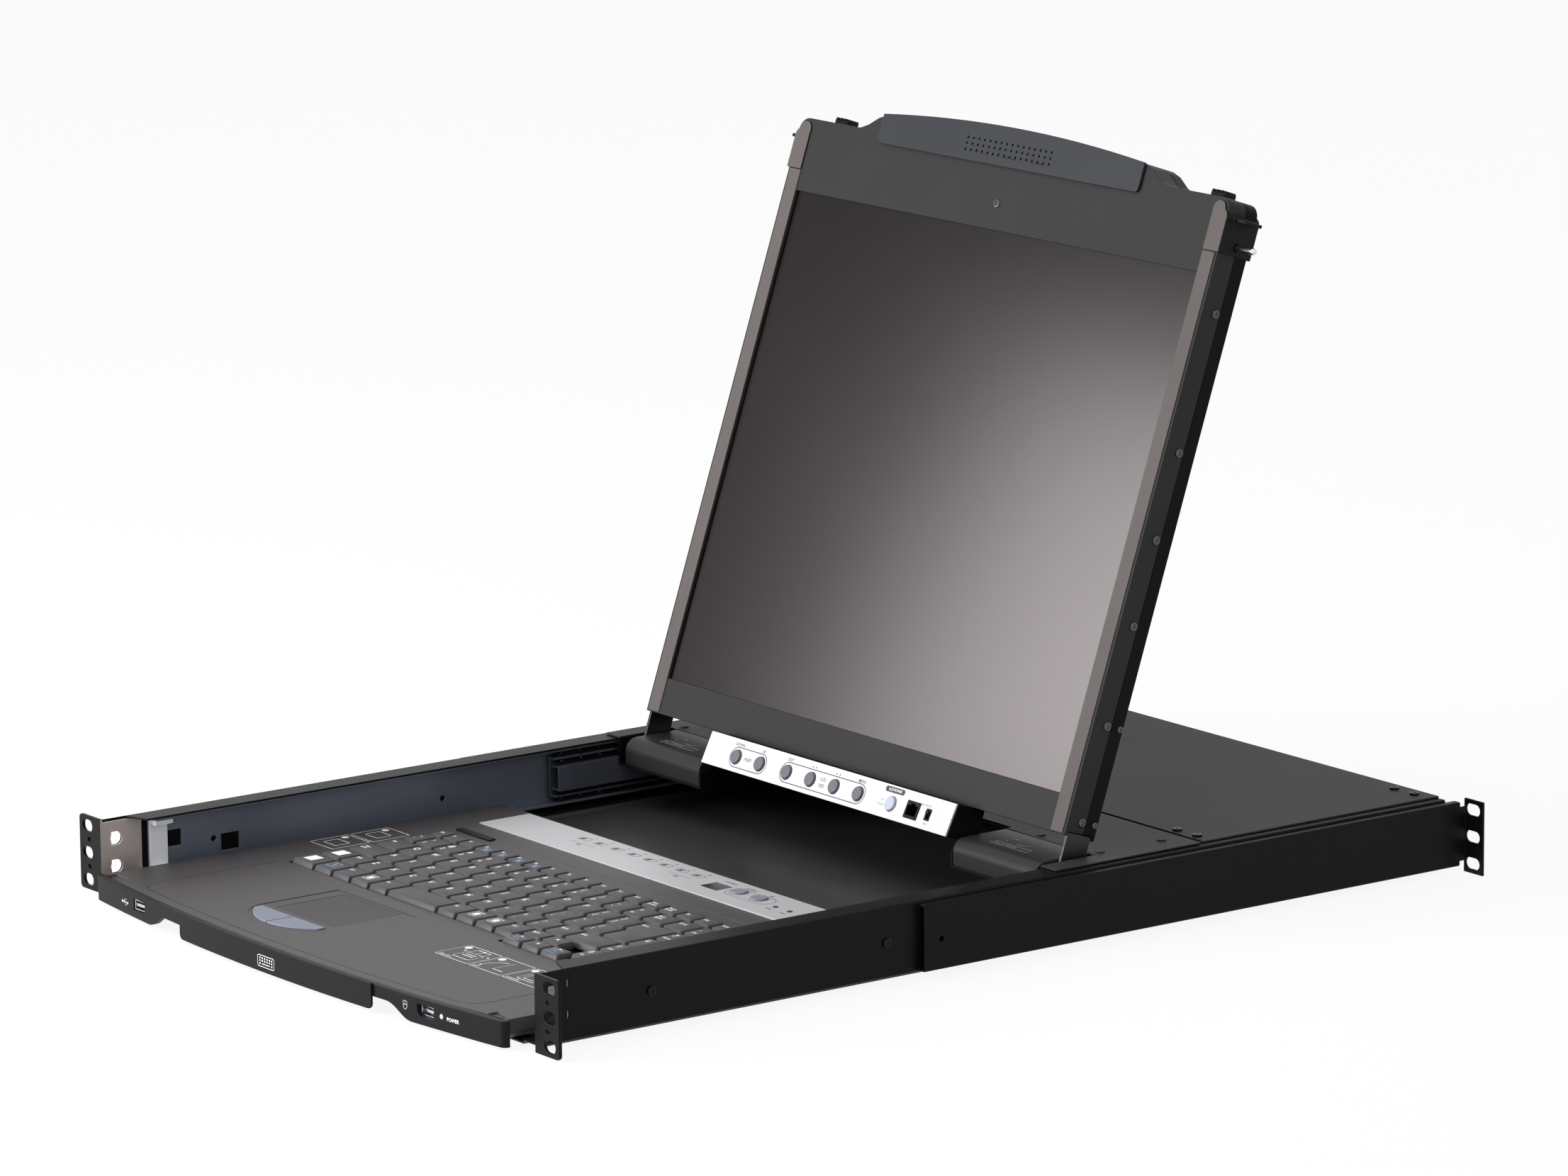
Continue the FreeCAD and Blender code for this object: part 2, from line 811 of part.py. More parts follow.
# ---------------------------------------------------------------- telescopic slides
middle_outer = channel_inner - S.slideSheet - S.middleOut
middle_inner = middle_outer - S.middleDepth
outer_row = S.slideHalf - S.slideSheet - S.ballPlay - S.ballWidth / 2
inner_row = S.middleHalf - S.railSheet - S.ballPlay - S.ballWidth / 2
BALLS_PER_ROW = 11


def slide_middles():
    low, high = S.slideMiddle - S.middleHalf, S.slideMiddle + S.middleHalf
    section = channel_section(middle_inner, middle_outer, low, high, S.railSheet, "in")
    keep("slide_middles", *both(prism("XZ", section, S.railFront, S.slideRear)))


# Cages with steel balls between the outer and middle members, and between the middle and inner ones.
def ball_cages():
    made = []
    inner_x = S.carriageHalf + S.innerDepth - 2.4
    rows = ((middle_inner + 2.6, outer_row), (inner_x, inner_row))
    for x, offset in rows:
        for side in (-1, 1):
            z = S.slideMiddle + offset * side
            first = S.railFront + 6
            cage = box(
                (x - 2.2, x + 2.2),
                (S.railFront + 1, first + S.ballPitch * BALLS_PER_ROW),
                (z - 0.4, z + 0.4),
            )
            pockets = []
            for number in range(BALLS_PER_ROW):
                y = first + S.ballPitch * number
                pockets.append(bar("Z", (x, y), S.ballWidth / 2 + S.ballPlay, z - 2, z + 2))
                made.append(ball(x, y, z, S.ballWidth / 2))
            made.append(cut(cage, *pockets))
    keep("ball_cages", *[copy for solid in made for copy in both(solid)])


# ---------------------------------------------------------------- slides of the keyboard tray
nest = S.trayRailWall + S.play


def keyboard_middles():
    floor = pan_top + S.trayRailFloor + S.play
    outer = S.trayRailInner + S.trayRailWidth - nest
    section = trough(S.trayRailInner + nest, outer, floor, floor + S.trayRailHeight - 0.7)
    keep("keyboard_middles", *both(prism("XZ", section, S.trayRailFront, S.trayRailRear)))


def tray_runners():
    low = pan_top + (S.trayRailFloor + S.play) * 2
    across = (S.trayRailInner + nest * 2, S.trayRailInner + S.trayRailWidth - nest * 2)
    runner = box(across, (S.trayRailFront - 18, S.trayRailRear), (low, S.trayStep))
    keep("tray_runners", *both(runner))


# ---------------------------------------------------------------- screen carriage
floor_top = S.carriageFloor + S.carriageWall


def slide_inners():
    low, high = S.slideMiddle - S.innerHalf, S.slideMiddle + S.innerHalf
    section = channel_section(
        S.carriageHalf, S.carriageHalf + S.innerDepth, low, high, S.railSheet, "out"
    )
    keep("slide_inners", *both(prism("XZ", section, S.railFront, S.slideRear)))


def carriage_tray():
    wall = S.carriageWall
    outer = box(
        (-S.carriageHalf, S.carriageHalf),
        (S.carriageFront, S.carriageRear),
        (S.carriageFloor, S.carriageTop),
    )
    inside = box(
        (-S.carriageHalf + wall, S.carriageHalf - wall),
        (S.carriageFront - past, S.carriageRear - wall),
        (floor_top, S.carriageTop + past),
    )
    recess = S.recessHalf
    well = box(
        (-recess - wall, recess + wall),
        (S.carriageFront, S.recessRear + wall),
        (S.carriageFloor, S.carriageTop),
    )
    gap = box(
        (-recess, recess),
        (S.carriageFront - past, S.recessRear),
        (S.carriageFloor - past, S.carriageTop + past),
    )
    swing = S.coverRound
    lowered = box(
        (-recess - wall - past, recess + wall + past),
        (S.carriageFront - past, S.carriageFront + swing),
        (S.carriageTop - swing + 2, S.carriageTop + past),
    )
    slots = []
    for sign in (-1, 1):
        ends = sorted((S.armSlotInner * sign, S.armSlotOuter * sign), key=lambda size: size.value)
        slots.append(
            box(
                tuple(ends),
                (S.carriageFront - past, S.recessRear + 1),
                (S.carriageFloor - past, floor_top + past),
            )
        )
    keep("carriage_tray", cut(fuse(cut(outer, inside), well), fuse(gap, lowered), *slots))


def carriage_lid():
    top = S.carriageTop + 1.0
    height = (S.carriageTop, top)
    plate = box((-S.carriageLidHalf, S.carriageLidHalf), (S.carriageLidFront, S.carriageRear - 0.5), height)
    reach = S.recessHalf + S.carriageWall
    notch = box(
        (-reach, reach),
        (S.carriageLidFront - past, S.recessRear + 1.2),
        (S.carriageTop - past, top + past),
    )
    sides = [
        box((S.boxHalf, S.carriageLidHalf), (S.carriageFront, S.carriageLidFront), height),
        box((-S.carriageLidHalf, -S.boxHalf), (S.carriageFront, S.carriageLidFront), height),
    ]
    heads = []
    for x, y in ((199.6, 443.0), (199.4, 398.5), (147.8, 397.5)):
        heads += both(bar(
            "Z",
            (dim(x), S.carriageRear + (y - SIZES["carriageRear"])),
            S.screwHead / 2,
            top,
            top + 0.8,
        ))
    keep("carriage_lid", fuse(cut(plate, notch), *sides, *heads))


# Hollow covers over the hinges, with a large round along the front top edge.
def hinge_covers():
    top = S.carriageTop + 0.9
    wall = S.coverWall
    section = [
        (S.carriageFront, floor_top),
        (S.coverRear, floor_top),
        (S.coverRear, top),
        (S.carriageFront, top),
    ]
    shell = prism("YZ", section, S.coverInner, S.coverOuter, {3: S.coverRound, 2: 0.8})
    hollow = prism(
        "YZ",
        [
            (S.carriageFront + wall, floor_top - past),
            (S.coverRear - wall, floor_top - past),
            (S.coverRear - wall, top - wall),
            (S.carriageFront + wall, top - wall),
        ],
        S.coverInner + wall,
        S.coverOuter - wall,
        {3: S.coverRound - wall},
    )
    hole = bar(
        "X",
        (S.pivotY, S.pivotZ),
        S.pinWidth / 2 + S.play,
        S.coverOuter - wall - past,
        S.coverOuter + past,
    )
    foot = box(
        (S.coverOuter - wall - past, S.coverOuter + past),
        (S.pivotY - S.pinWidth / 2 - S.play, S.pivotY + S.pinWidth / 2 + S.play),
        (floor_top - past, S.pivotZ),
    )
    keep("hinge_covers", *both(cut(shell, hollow, hole, foot)))


# The fixed half of each hinge: a block on the floor, the friction pack and the pin.
def hinge_mounts():
    radius = S.pinWidth / 2
    block = box(
        (S.coverOuter - 11.5, S.coverOuter - 2),
        (S.pivotY - 12, S.pivotY + 12),
        (floor_top, floor_top + 11),
    )
    bore = bar("X", (S.pivotY, S.pivotZ), radius + S.pinPlay, S.coverOuter - 12.5, S.coverOuter)
    pin = bar("X", (S.pivotY, S.pivotZ), radius, S.coverOuter - 34, S.armSlotOuter - 1.8)
    collar = bar("X", (S.pivotY, S.pivotZ), radius + 1.4, S.armInner + S.armSheet + 0.2, S.armSlotOuter - 0.6)
    washers = []
    for number in range(5):
        left = S.coverOuter - 20 - 3.0 * number
        washers.append(box((left, left + 2.0), (S.pivotY - 7, S.pivotY + 7), (floor_top, floor_top + 7.5)))
    keep("hinge_mounts", *both(cut(block, bore)), *both(fuse(pin, collar, *washers)))


# ---------------------------------------------------------------- screen head
def head_outline(inset):
    half = S.headHalf - inset
    bottom = S.headBottom + inset
    top = S.headShoulder - inset
    rise = S.headTop - S.headShoulder
    right = [
        (half, bottom),
        (half, top),
        (dim(143.5), top),
        (dim(136.2), top + rise * 0.28),
        (dim(127.8), top + rise * 0.78),
        (dim(120.6), top + rise),
    ]
    left = [(-u, v) for u, v in reversed(right)]
    return right + [Bow(S.headCrown)] + left


def pin_tunnel():
    return [
        bar(
            "X",
            (S.latchDepth, S.latchHeight),
            S.latchWidth / 2 + S.play,
            *(sorted(
                (sign * (S.headHalf - S.headWall - past), sign * (S.headHalf + past)),
                key=lambda d: d.value,
            )),
        )
        for sign in (-1, 1)
    ]


def head_shell(low, high, hollow_low, hollow_high, tools):
    round_size = 8.0
    outline = head_outline(0)
    shell = prism("XZ", outline, low, high, {1: round_size, 10: round_size})
    inner = box(
        (-S.headHalf + S.headWall, S.headHalf - S.headWall),
        (hollow_low, hollow_high),
        (S.headBottom + S.headWall, S.headShoulder - S.headWall * 2.5),
    )
    return cut(shell, inner, *tools)


def thumb_slots(low, high):
    tools = []
    for sign in (-1, 1):
        inner = S.thumbMiddle - 21
        outer = S.thumbMiddle + 9
        ends = sorted((inner * sign, outer * sign), key=lambda size: size.value)
        tools.append(box(
            tuple(ends),
            (low, high),
            (S.headShoulder - S.headWall * 2.5 - past, S.headShoulder + past),
        ))
    return tools


def head_front():
    window = box(
        (-S.screenHalf, S.screenHalf),
        (S.headFront - past, S.headSeam),
        (S.screenBottom, S.screenBottom + S.screenHeight),
    )
    depth = S.headFront + S.headWall
    behind_holes = box(
        (-S.holePitchX * 8, S.holePitchX * 8),
        (S.headFront - past, S.headFront + 2),
        (387.6, 399.4),
    )
    tools = [window, behind_holes, *pin_tunnel(), *arm_notches(S.armFront - S.play, S.headSeam + past)]
    shell = head_shell(S.headFront, S.headSeam, depth, S.headSeam + past, tools)
    keep_on_head("head_front", shell)


def head_rear():
    tools = pin_tunnel() + thumb_slots(S.headSeam + 0.7, S.headSeam + 6.2)
    tools += arm_notches(S.headSeam - past, S.armRear + S.play)
    for row in range(5):
        for column in range(14):
            left = -130.0 + column * 20.0
            bottom = 250.0 + row * 9.0
            across = (left, left + 14.0)
            tools.append(box(across, (S.headRear - 4, S.headRear + past), (bottom, bottom + 3.0)))
    shell = head_shell(S.headSeam, S.headRear, S.headSeam - past, S.headRear - S.headWall, tools)
    keep_on_head("head_rear", shell)


def screen():
    front = S.headFront + S.headWall
    border = 3.0
    glass = box(
        (-S.screenHalf - border, S.screenHalf + border),
        (front, front + S.glassSheet),
        (S.screenBottom - border, S.screenBottom + S.screenHeight + border),
    )
    keep_on_head("screen", glass)


def lcd_module():
    front = S.headFront + S.headWall + S.glassSheet
    border = 5.0
    module = box(
        (-S.screenHalf - border, S.screenHalf + border),
        (front, S.headRear - S.headWall - S.play),
        (S.screenBottom - border - 3, S.screenBottom + S.screenHeight + border),
    )
    keep_on_head("lcd_module", module)


def side_strips():
    front = S.headFront - 0.6
    strip = prism(
        "XZ",
        [
            (S.stripInner, S.headBottom + 0.8),
            (S.stripOuter, S.headBottom + 0.8),
            (S.stripOuter, S.stripTop),
            (S.stripInner, S.stripTop),
        ],
        front,
        S.headFront,
    )
    keep_on_head("side_strips", *both(strip))


# Corner housings that wrap the head's upper corners, each with a fin and the latch pin's hole.
def corner_caps():
    outer_half = S.headHalf + 1.0
    front = S.headFront - 1.0
    rear = S.headRear + 2.0
    outline = [
        (S.stripInner, S.capBottom),
        (outer_half, S.capBottom),
        (outer_half, S.capTop - 4),
        (S.stripInner, S.capTop - 4),
    ]
    block = prism("XZ", outline, front, rear, {2: 5.5})
    gap = box(
        (S.stripInner - past, S.headHalf),
        (S.headFront, S.headRear),
        (S.capBottom - past, S.capTop + past),
    )
    crown = prism(
        "XZ",
        [
            (S.stripInner, S.capTop - 14),
            (S.stripOuter, S.capTop - 14),
            (S.stripOuter, S.capTop),
            (S.stripInner, S.capTop),
        ],
        front,
        S.headFront,
        {2: 5.0, 3: 5.0},
    )
    fin_height = S.latchHeight + 14.7
    fin = box((S.headHalf, S.headHalf + 11), (-8.0, 5.0), (fin_height - 1, fin_height + 1))
    tunnel = bar(
        "X",
        (S.latchDepth, S.latchHeight),
        S.latchWidth / 2 + S.play,
        S.headHalf - past,
        outer_half + past,
    )
    keep_on_head("corner_caps", *both(cut(fuse(cut(block, gap), crown, fin), tunnel)))


def head_handle():
    plate = prism(
        "XZ",
        [
            (S.handleHalf, S.handleBottom),
            (S.handleHalf, S.headTop + 0.4),
            Bow(S.headCrown + 1.0),
            (-S.handleHalf, S.headTop + 0.4),
            (-S.handleHalf, S.handleBottom),
        ],
        S.headFront - S.handleProud,
        S.headFront,
        {0: 3.0, 3: 3.0},
    )
    holes = []
    for column in range(16):
        for row in range(3):
            x = S.holePitchX * (column - 7.5)
            z = S.handleBottom + 6.3 + S.holePitchZ * row
            holes.append(
                bar("Y", (x, z), S.holeWidth / 2, S.headFront - S.handleProud - past, S.headFront + past)
            )
    keep_on_head("head_handle", cut(plate, *holes))


# Each arm: a lug on the hinge pin, a plate beside it, and a longer plate inside the head's side wall.
def hinge_arms():
    outer = S.armInner + S.armSheet
    across = (S.armInner, outer)
    lug = bar("X", (dim(0), dim(0)), S.armLug, *across)
    plate = box(across, (S.armFront, S.armRear), (0, S.headBottom + S.headWall))
    wall_face = S.headHalf - S.headWall
    front = S.headFront + S.headWall + S.play
    rear = S.headRear - S.headWall - S.play
    inner = box((wall_face - S.armSheet, wall_face), (front, rear), (S.headBottom, S.headBottom + S.armPlate))
    front_corner = box(
        (S.armInner - past, outer + past),
        (S.armFront - past, -S.armLug),
        (-past, S.armLug + 1),
    )
    bore = bar("X", (dim(0), dim(0)), S.pinWidth / 2 + S.pinPlay, S.armInner - past, outer + past)
    keep_on_head("hinge_arms", *both(cut(fuse(lug, cut(plate, front_corner), inner), bore)))


# The notches in the head's underside where the arms go in.
def arm_notches(low, high):
    tools = []
    for sign in (-1, 1):
        inner = S.headHalf - S.headWall - S.armSheet - S.play
        ends = sorted((inner * sign, (S.headHalf + past) * sign), key=lambda size: size.value)
        tools.append(box(tuple(ends), (low, high), (S.headBottom - past, S.headBottom + S.headWall + S.play)))
    return tools


def head_screws():
    heads = []
    for height in (326.4, 246.3, 196.0, 146.2, 88.5, 32.9):
        heads.append(bar("X", (dim(-2.5), dim(height)), 2.6, S.headHalf, S.headHalf + 0.8))
    for height in (88.5, 32.9):
        heads.append(bar("X", (dim(7.0), dim(height)), 2.0, S.headHalf, S.headHalf + 0.8))
    solids = [copy for head in heads for copy in both(head)]
    solids.append(bar("Y", (dim(0), S.handleBottom - 21.4), 2.6, S.headFront - 0.6, S.headFront))
    for x in (-170.0, -60.0, 60.0, 170.0):
        for height in (60.0, 350.0):
            solids.append(bar("Y", (dim(x), dim(height)), 3.0, S.headRear, S.headRear + 0.9))
    keep_on_head("head_screws", *solids)


# A latch: a round-nosed pin, the slider inside the head and the ribbed thumb piece on top.
def latches():
    y, z = S.latchDepth, S.latchHeight
    radius = S.latchWidth / 2
    pin = bar("X", (y, z), radius, S.thumbMiddle + 4, S.latchReach - radius)
    nose = ball(S.latchReach - radius, y, z, radius)
    low = S.headSeam + 1.2
    slider = box((S.thumbMiddle - 5, S.thumbMiddle + 7), (y, low + 3), (z - 4, S.headShoulder + 0.6))
    thumb = box(
        (S.thumbMiddle - 6, S.thumbMiddle + 6),
        (low - 4, low + 4.5),
        (S.headShoulder + 0.6, S.headShoulder + 3.4),
    )
    neck = box(
        (S.thumbMiddle - 5, S.thumbMiddle + 7),
        (y - 3, low),
        (S.headShoulder - 7, S.headShoulder + past),
    )
    ribs = []
    for number in range(3):
        left = S.thumbMiddle - 4.5 + 3.6 * number
        ribs.append(box(
            (left, left + 1.6),
            (low - 5, low + 5.5),
            (S.headShoulder + 3.0, S.headShoulder + 4.4),
        ))
    right = fuse(pin, nose, cut(slider, neck), thumb, *ribs)
    keep_on_head("latch_right", right)
    keep_on_head("latch_left", mirror(right))


# ---------------------------------------------------------------- control panel
# Buttons from left to right: name and middle across.
PANEL_BUTTONS = [
    ("button_port_down", -87.5),
    ("button_port_up", -64.4),
    ("button_menu_exit", -37.9),
    ("button_menu_left", -14.9),
    ("button_menu_right", 8.0),
    ("button_menu", 31.0),
    ("button_screen_power", 62.1),
]
JACK = (82.0, 12.4, 10.4)
SWITCH = (96.6, 5.0, 7.0)


def panel_opening(row, low, high):
    x, width, height = row
    middle = S.panelButtonRise
    return box((x - width / 2, x + width / 2), (low, high), (middle - height / 2, middle + height / 2))


# The box under the head, open at its leaning front and closed there by the white face.
def panel_box():
    lean = turned(S.panelHeight, "sin", S.panelLean)
    rise = turned(S.panelHeight, "cos", S.panelLean)
    rear = S.panelFront + S.panelDepth
    wall = S.panelWall
    section = [
        (S.panelFront, S.panelBottom),
        (S.panelFront + lean, S.panelBottom + rise),
        (S.headFront, S.headBottom),
        (rear, S.headBottom),
        (rear, S.panelBottom),
    ]
    outer = prism("YZ", section, -S.panelHalf, S.panelHalf)
    inside = box(
        (-S.panelHalf + wall, S.panelHalf - wall),
        (S.panelFront - past, rear - wall),
        (S.panelBottom + wall, S.panelBottom + rise - wall),
    )
    keep_on_head("panel_box", cut(outer, inside))


def panel_face():
    plate = box((-S.panelHalf, S.panelHalf), (-S.panelFace, 0), (0, S.panelHeight))
    low, high = -S.panelFace - past, dim(past)
    tools = [panel_opening(JACK, low, high), panel_opening(SWITCH, low, high)]
    for name, x in PANEL_BUTTONS:
        tools.append(bar("Y", (dim(x), S.panelButtonRise), S.panelButton / 2 + S.play, low, high))
    keep_on_panel("panel_face", cut(plate, *tools))


def panel_buttons():
    for name, x in PANEL_BUTTONS:
        centre = (dim(x), S.panelButtonRise)
        head = bar("Y", centre, S.panelButton / 2, -S.panelFace - 1.6, 0.4)
        collar = bar("Y", centre, S.panelButton / 2 + 0.7, 0.3, 1.3)
        stem = bar("Y", centre, 1.5, 1.3, 4.6)
        keep_on_panel(name, fuse(head, collar, stem))


def panel_jack():
    x, width, height = JACK
    gap = S.play
    middle = S.panelButtonRise
    body = box(
        (x - width / 2 + gap, x + width / 2 - gap),
        (-S.panelFace - 0.4, 6.0),
        (middle - height / 2 + gap, middle + height / 2 - gap),
    )
    mouth = box((x - 4.6, x + 4.6), (-3.0, 4.5), (middle - 3.4, middle + 2.6))
    tab = box((x - 2.0, x + 2.0), (-3.0, 4.5), (middle + 2.6, middle + 3.8))
    x, width, height = SWITCH
    frame = box(
        (x - width / 2 + gap, x + width / 2 - gap),
        (-S.panelFace, 6.0),
        (middle - height / 2 + gap, middle + height / 2 - gap),
    )
    slit = box((x - 1.2, x + 1.2), (-3.0, 3.0), (middle - 2.4, middle + 2.4))
    knob = box((x - 1.2, x + 1.2), (-S.panelFace - 1.4, 3.0), (middle + 0.2, middle + 2.4))
    half = S.panelHalf - S.panelWall
    board = box((-half, half), (6.0, 7.6), (3.0, S.panelHeight - 2.8))
    keep_on_panel("panel_jack", fuse(board, cut(body, fuse(mouth, tab)), cut(frame, slit), knob))


# ---------------------------------------------------------------- keyboard tray
def bow_outline(half, side, rear, bow):
    return [(-half, side), Bow(bow), (half, side), (half, rear), (-half, rear)]


skirt_bottom = S.trayStep + S.trayPanSheet


def tray_pan():
    step = S.trayRailInner - 1
    sheet_size = S.trayPanSheet
    half = S.trayHalf - 0.5
    right = [
        (step, S.trayFloor),
        (step, S.trayStep),
        (half, S.trayStep),
        (half, S.trayStep + sheet_size),
        (step - sheet_size, S.trayStep + sheet_size),
        (step - sheet_size, S.trayFloor + sheet_size),
    ]
    left = [(-x, z) for x, z in reversed(right)]
    keep("tray_pan", prism("XZ", right + left, -6.5, S.trayRear - 2))


# The same bow at every depth: its rise shrinks with the half width that it spans.
def bow_rise(half):
    rise = S.bezelBow
    span = S.bezelHalf
    radius = (span * span + rise * rise) / (rise * 2)
    short = Dim(
        radius.value - math.sqrt(radius.value**2 - half.value**2),
        f"({radius.text} - sqrt({radius.text} * {radius.text} - {half.text} * {half.text}))",
    )
    return short


# Rows from the front: widths in key pitches. The enter key ends the home row and reaches one row back.
KEY_ROWS = [
    ("keys_space_row", [1.2, 1, 1, 1, 1, 2.65, 1, 1, 1, 1]),
    ("keys_shift_row", [1.06, 0.91] + [1] * 11 + [1.77]),
    ("keys_home_row", [1.48] + [1] * 12),
    ("keys_tab_row", [1.22] + [1] * 12),
    ("keys_number_row", [0.66] + [1] * 12 + [1.05, 1.04]),
    ("keys_function_row", [0.66] + [0.878] * 16),
]
ENTER_UNITS = (1.27, 1.53)
ARROW_UNIT = 0.97
ARROW_KEYS = [(0, 0), (1, 0), (2, 0), (0, 1), (1, 1)]
PAD_COLUMNS = 4
LAST_ROW = len(KEY_ROWS) - 1

main_right = S.keysLeft + S.keyPitch * 14.75
keys_right = main_right + S.padPitch * PAD_COLUMNS + S.keyGap
keys_rear = S.keysFront + S.keyPitch * LAST_ROW + S.keyGap + S.functionDepth + S.keyGap
arrows_left = main_right - S.keyPitch * (ARROW_UNIT * 3)
arrows_front = S.keysFront + S.keyPitch - S.arrowDepth * 2 - S.keyGap * 2


def row_front(number):
    return S.keysFront + S.keyPitch * number + S.keyGap


def row_depth(number):
    return S.functionDepth if number == LAST_ROW else S.keyPitch - S.keyGap


# The opening that the keys stand in: a rectangle with a deeper bay for the arrow keys.
def keys_area(wall, low, high):
    field = box((S.keysLeft - wall, keys_right + wall), (S.keysFront - wall, keys_rear + wall), (low, high))
    left, right = arrows_left - wall, main_right + S.keyGap + wall
    bay = box((left, right), (arrows_front - wall, S.keysFront + S.keyPitch), (low, high))
    return fuse(field, bay)


def tray_top():
    half = S.trayHalf
    side_y = S.bezelSide - S.bezelBow + S.bezelDepth + S.bowSeam + bow_rise(half)
    outline = bow_outline(half, side_y, S.trayRear, bow_rise(half))
    shell = prism("XY", outline, skirt_bottom, S.trayTop)
    under = S.trayTop - S.traySheet
    hollow = box((-half + 2, half - 2), (0, S.trayRear - 2), (skirt_bottom - past, under))
    above = (under - past, S.trayTop + past)
    gap = S.play
    tools = [
        keys_area(dim(0), *above),
        box((S.padLeft - gap, S.padRight + gap), (S.padFront - gap, S.padRear + gap), above),
        prism("XY", touch_outline(S.touchLeft, S.touchRight, -gap), *above),
    ]
    tools.append(box((-S.stripHalf + 60, S.stripHalf - 24), (S.stripFront + 8, S.stripRear - 8), above))
    for sign in (-1, 1):
        tools.append(port_pocket(sign))
        tools.append(corner_pocket(sign))
    keep("tray_top", cut(shell, hollow, *tools))


def port_pocket(sign):
    x = S.portReach * sign - S.portShift
    return box((x - 7, x + 7), (-30, -8), (S.portMiddle - 3.3, S.portMiddle + 3.3))


def corner_pocket(sign):
    ends = sorted((sign * (S.trayHalf - 17), sign * (S.trayHalf - 4)), key=lambda size: size.value)
    return box(tuple(ends), (-7.6, -1.5), (S.trayTop - 1.2, S.trayTop + past))


# The two crescent buttons share one outline: a straight rear edge and a bowed front edge.
def touch_outline(left, right, inset):
    return [
        (left + inset, S.touchFront + inset),
        Bow(S.touchBow),
        (right - inset, S.touchFront + inset),
        (right - inset, S.touchRear - inset),
        (left + inset, S.touchRear - inset),
    ]


def touch_buttons():
    middle = (S.touchLeft + S.touchRight) / 2
    under = S.trayTop - S.traySheet
    for name, low, high in (
        ("touch_button_left", S.touchLeft - 5, middle - 0.3),
        ("touch_button_right", middle + 0.3, S.touchRight + 5),
    ):
        shape = prism("XY", touch_outline(S.touchLeft, S.touchRight, 0), under - 0.6, S.trayTop + 0.4)
        half = common(shape, box((low, high), (0, 40.0), (S.trayTop - 8, S.trayTop + 4)))
        stem_x = (low + high) / 2
        stem = box((stem_x - 2, stem_x + 2), (S.touchFront, S.touchFront + 4), (under - 5, under - 0.6))
        keep(name, fuse(half, stem))


def common(first, second):
    shared = doc.addObject("Part::MultiCommon", "Common")
    shared.Shapes = [first, second]
    return shared


# The front of the tray: a bowed bar, cut away under its middle, with the hanging grip before it.
def front_bezel():
    half = S.bezelHalf
    front = S.bezelSide
    rear = front + S.bezelDepth
    outline = [
        (-half, front),
        Bow(S.bezelBow),
        (half, front),
        (half, rear),
        Bow(-S.bezelBow),
        (-half, rear),
    ]
    band = prism("XY", outline, S.bezelBottom, S.trayTop)
    relief = prism(
        "XZ",
        [(-135.0, S.bezelBottom - past), (128.0, S.bezelBottom - past), (112.0, -13.0), (-121.0, -13.0)],
        -40.0,
        10.0,
    )
    lamp = bar("Y", (S.lampReach, S.portMiddle), 1.5, -30.0, 0.0)
    grip_rise = bow_rise(S.gripHalf)
    back_y = S.bezelSide - S.bezelBow - S.bowSeam + grip_rise
    grip_outline = [
        (-S.gripHalf, back_y - S.gripSheet),
        Bow(grip_rise),
        (S.gripHalf, back_y - S.gripSheet),
        (S.gripHalf, back_y),
        Bow(-grip_rise),
        (-S.gripHalf, back_y),
    ]
    grip = prism("XY", grip_outline, S.gripBottom, S.gripTop)
    bar_cut = cut(band, relief, lamp, port_pocket(-1), port_pocket(1))
    keep("front_bezel", bar_cut, grip)


def usb_ports():
    made = []
    for sign in (-1, 1):
        x = S.portReach * sign - S.portShift
        front = S.bezelSide - S.bezelBow + bow_rise(S.portReach - 7) + 2.4
        shell = box((x - 6.7, x + 6.7), (front, -8.3), (S.portMiddle - 3.0, S.portMiddle + 3.0))
        mouth = box((x - 6.0, x + 6.0), (front - past, -10.0), (S.portMiddle - 2.3, S.portMiddle + 2.3))
        tongue = box((x - 5.6, x + 5.6), (front + 0.6, -9.6), (S.portMiddle - 0.9, S.portMiddle + 0.8))
        made += [fuse(cut(shell, mouth), tongue)]
    keep("usb_ports", *made)


def key_plate():
    wall = 1.5
    under = S.trayTop - S.traySheet
    bottom = S.deckTop - wall
    outer = keys_area(dim(wall), bottom, under)
    inside = keys_area(dim(0), S.deckTop, under + past)
    slots = []
    for number in range(len(KEY_ROWS)):
        middle = row_front(number) + row_depth(number) / 2
        slots.append(
            box(
                (S.keysLeft + 3, keys_right - 3),
                (middle - 2.3, middle + 2.3),
                (bottom - past, S.deckTop + past),
            )
        )
    for row in (0, 1):
        middle = arrow_front(row) + S.arrowDepth / 2
        slots.append(
            box(
                (arrows_left + 3, main_right - 3),
                (middle - 2.3, middle + 2.3),
                (bottom - past, S.deckTop + past),
            )
        )
    keep("key_plate", cut(outer, inside, *slots))


def arrow_front(row):
    return arrows_front + S.keyGap + (S.arrowDepth + S.keyGap) * row


# A key cap: a block that narrows to its top.
def key_cap(left, front, width, depth):
    taper = 1.4
    cap = doc.addObject("Part::Wedge", "Cap")
    for path, size in (
        ("Xmin", 0), ("Xmax", width), ("Zmin", 0), ("Zmax", depth), ("Ymin", 0), ("Ymax", S.keyBody),
        ("X2min", taper), ("X2max", width - taper), ("Z2min", taper), ("Z2max", depth - taper),
    ):
        bind(cap, path, size)
    cap.Placement = FreeCAD.Placement(Vector(), FreeCAD.Rotation(Vector(1, 0, 0), 90))
    place(cap, left, front + depth, S.keyTop - S.keyBody)
    return cap


